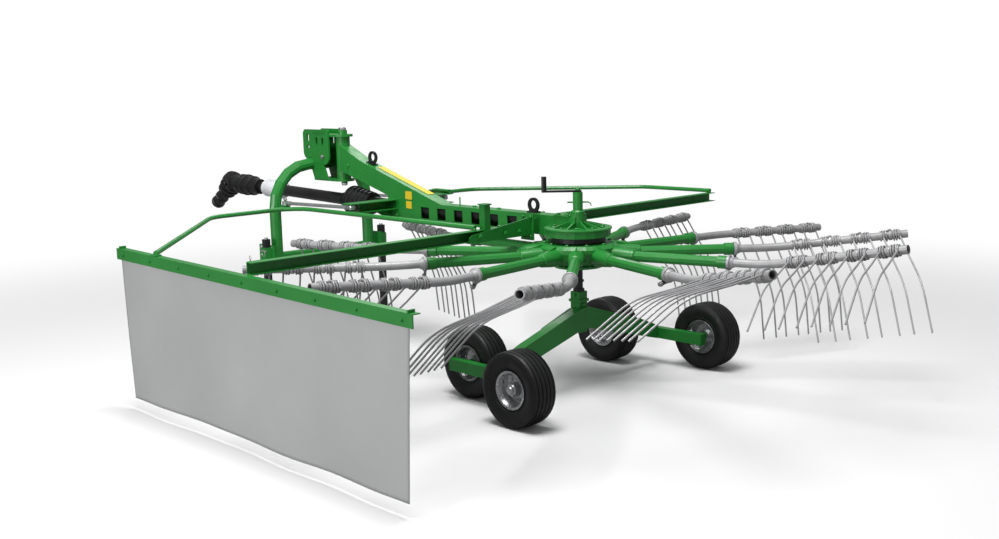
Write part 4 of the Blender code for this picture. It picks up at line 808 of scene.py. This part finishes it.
def make_pto_detail():
    """Ribs of the guard bell, rings of the collar, bearing caps and yoke ears."""
    start, end = at(1.53, 0, 0.862), at(3.36, 0, 0.915)
    axis = (end - start).normalized()
    bm = bmesh.new()
    for k in range(6):
        share = k / 5
        radius = 0.0655 + (0.0915 - 0.0655) * share
        spot = start + axis * (0.222 + 0.188 * share)
        lathe(bm, ((radius, -0.006), (radius + 0.0045, -0.003), (radius + 0.0045, 0.003),
                   (radius, 0.006)), spot, axis, 36)
    for k in range(3):
        spot = start + axis * (0.47 + 0.022 * k)
        lathe(bm, ((0.0382, -0.007), (0.050 - 0.003 * k, -0.004), (0.050 - 0.003 * k, 0.004),
                   (0.0382, 0.007)), spot, axis, 32)
    for distance, radius in ((1.52, 0.0505), (1.60, 0.0660), (1.68, 0.0725), (1.74, 0.0700)):
        lathe(bm, ((radius - 0.004, -0.010), (radius + 0.003, -0.006), (radius + 0.003, 0.006),
                   (radius - 0.004, 0.010)),
              start + axis * distance, axis, 36)
    elbow = start + axis * (1.42 + 0.37 + 0.092)
    down = Matrix.Rotation(math.radians(36), 3, "Y") @ axis
    for distance, radius in ((0.0, 0.078), (0.05, 0.072), (0.10, 0.063), (0.20, 0.0455), (0.27, 0.0455)):
        lathe(bm, ((radius - 0.004, -0.010), (radius + 0.004, -0.006), (radius + 0.004, 0.006),
                   (radius - 0.004, 0.010)),
              elbow + down * distance, down, 36)
    side = Vector((0, 1, 0))
    for sign in (1, -1):
        lathe(bm, ((0.001, 0.055), (0.030, 0.055), (0.030, 0.084), (0.024, 0.088), (0.001, 0.088)),
              elbow, side * sign, 24)
    piece("pto_ribs", bm, "black_plastic", "frame", angle=30)
    bm = bmesh.new()
    for distance in (1.235, 1.275, 1.36, 1.405):
        lathe(bm, ((0.056, -0.004), (0.0605, -0.003), (0.0605, 0.003), (0.056, 0.004)),
              start + axis * distance, axis, 36)
    piece("pto_collar_rings", bm, "pale_plastic", "frame")


# ---------------------------------------------------------------- guards, sleeve and undercarriage
def make_sleeve_detail():
    """Clamp screws of the telescoping beam, the holed plate's bolts and the hinge pin's clips."""
    bm = bmesh.new()
    for y in (0.20, 0.30, 0.48):
        bolt(bm, at(0.282, y, 0.8608), (0, 0, 1), 0.007)
        tube(bm, (at(0.240, y, 0.832), at(0.222, y, 0.832)), 0.0055, 8)
        lathe(bm, ((0.001, 0), (0.0115, 0), (0.0115, 0.010), (0.001, 0.010)), at(0.238, y, 0.832),
              (-1, 0, 0), 6)
    for x in (0.250, 0.310):
        for z in (0.790, 0.895):
            bolt(bm, at(x, 0.0982, z), (0, 1, 0), 0.0065)
    for side in (-1, 1):
        bolt(bm, at(0.412 + side * 0.0425, -0.125, 0.88), (side, 0, 0), 0.0055)
    piece("guard_fittings", bm, "green_paint", "frame")


def make_undercarriage_detail():
    """Rocker end caps, pivot bolts, axle gussets and the column's clamp."""
    green = bmesh.new()
    for side in (1, -1):
        y = side * 0.6325
        for x in (-0.345, 0.305):
            brick(green, at(x - 0.003, y - 0.0245, 0.153), at(x + 0.003, y + 0.0245, 0.217))
        prism(green, ((0.04, 0.42), (0.26, 0.345), (0.24, 0.325), (0.04, 0.325)), at(0.0315, 0, 0),
              (0, side, 0), (0, 0, 1),
              0.008 * -side)
        prism(green, ((0.04, 0.42), (0.26, 0.345), (0.24, 0.325), (0.04, 0.325)), at(-0.0315, 0, 0),
              (0, side, 0), (0, 0, 1),
              0.008 * side)
    brick(green, at(-0.038, -0.038, 0.455), at(0.038, 0.038, 0.470))
    piece("axle_gussets", green, "green_paint", "frame")
    bm = bmesh.new()
    for side in (1, -1):
        for x in (-0.045, 0.005):
            bolt(bm, at(x, side * 0.6558, 0.185), (0, side, 0), 0.007)
        bolt(bm, at(0, side * 0.0315, 0.492), (0, side, 0), 0.006)
        bolt(bm, at(side * 0.0315, 0, 0.440), (side, 0, 0), 0.007)
        lathe(bm, ((0.001, 0), (0.013, 0), (0.013, 0.008), (0.001, 0.008)),
              at(-0.29, side * 0.7955, 0.185), (0, side, 0), 6)
    piece("axle_bolts", bm, "green_paint", "frame")
    bm = bmesh.new()
    lathe(bm, ((0.0222, 0), (0.030, 0), (0.030, 0.012), (0.0222, 0.012)), at(0, 0, 0.512), (0, 0, 1), 28)
    lathe(bm, ((0.0222, 0), (0.028, 0), (0.028, 0.010), (0.0222, 0.010)), at(0, 0, 0.560), (0, 0, 1), 28)
    piece("column_collars", bm, "black_paint", "frame")


def dress_frame():
    """Gives every CAD node the finished version of its slot's material."""
    slots = {part["node"]: part["material_slot"] for part in frame["record"]["subparts"]}
    for name, item in NODES.items():
        item.data.materials.clear()
        item.data.materials.append(MATERIALS[slots[name]])


def main():
    make_camera()
    make_studio()
    dress_frame()
    for name in ("rear_left", "front_left", "front_right", "rear_right"):
        make_wheel(name)
    make_tine_arms()
    make_hub_detail()
    make_cover_detail()
    make_curtain()
    make_rail_detail()
    make_beam_detail()
    make_headstock_detail()
    make_strut_detail()
    make_pto_detail()
    make_sleeve_detail()
    make_undercarriage_detail()


main()
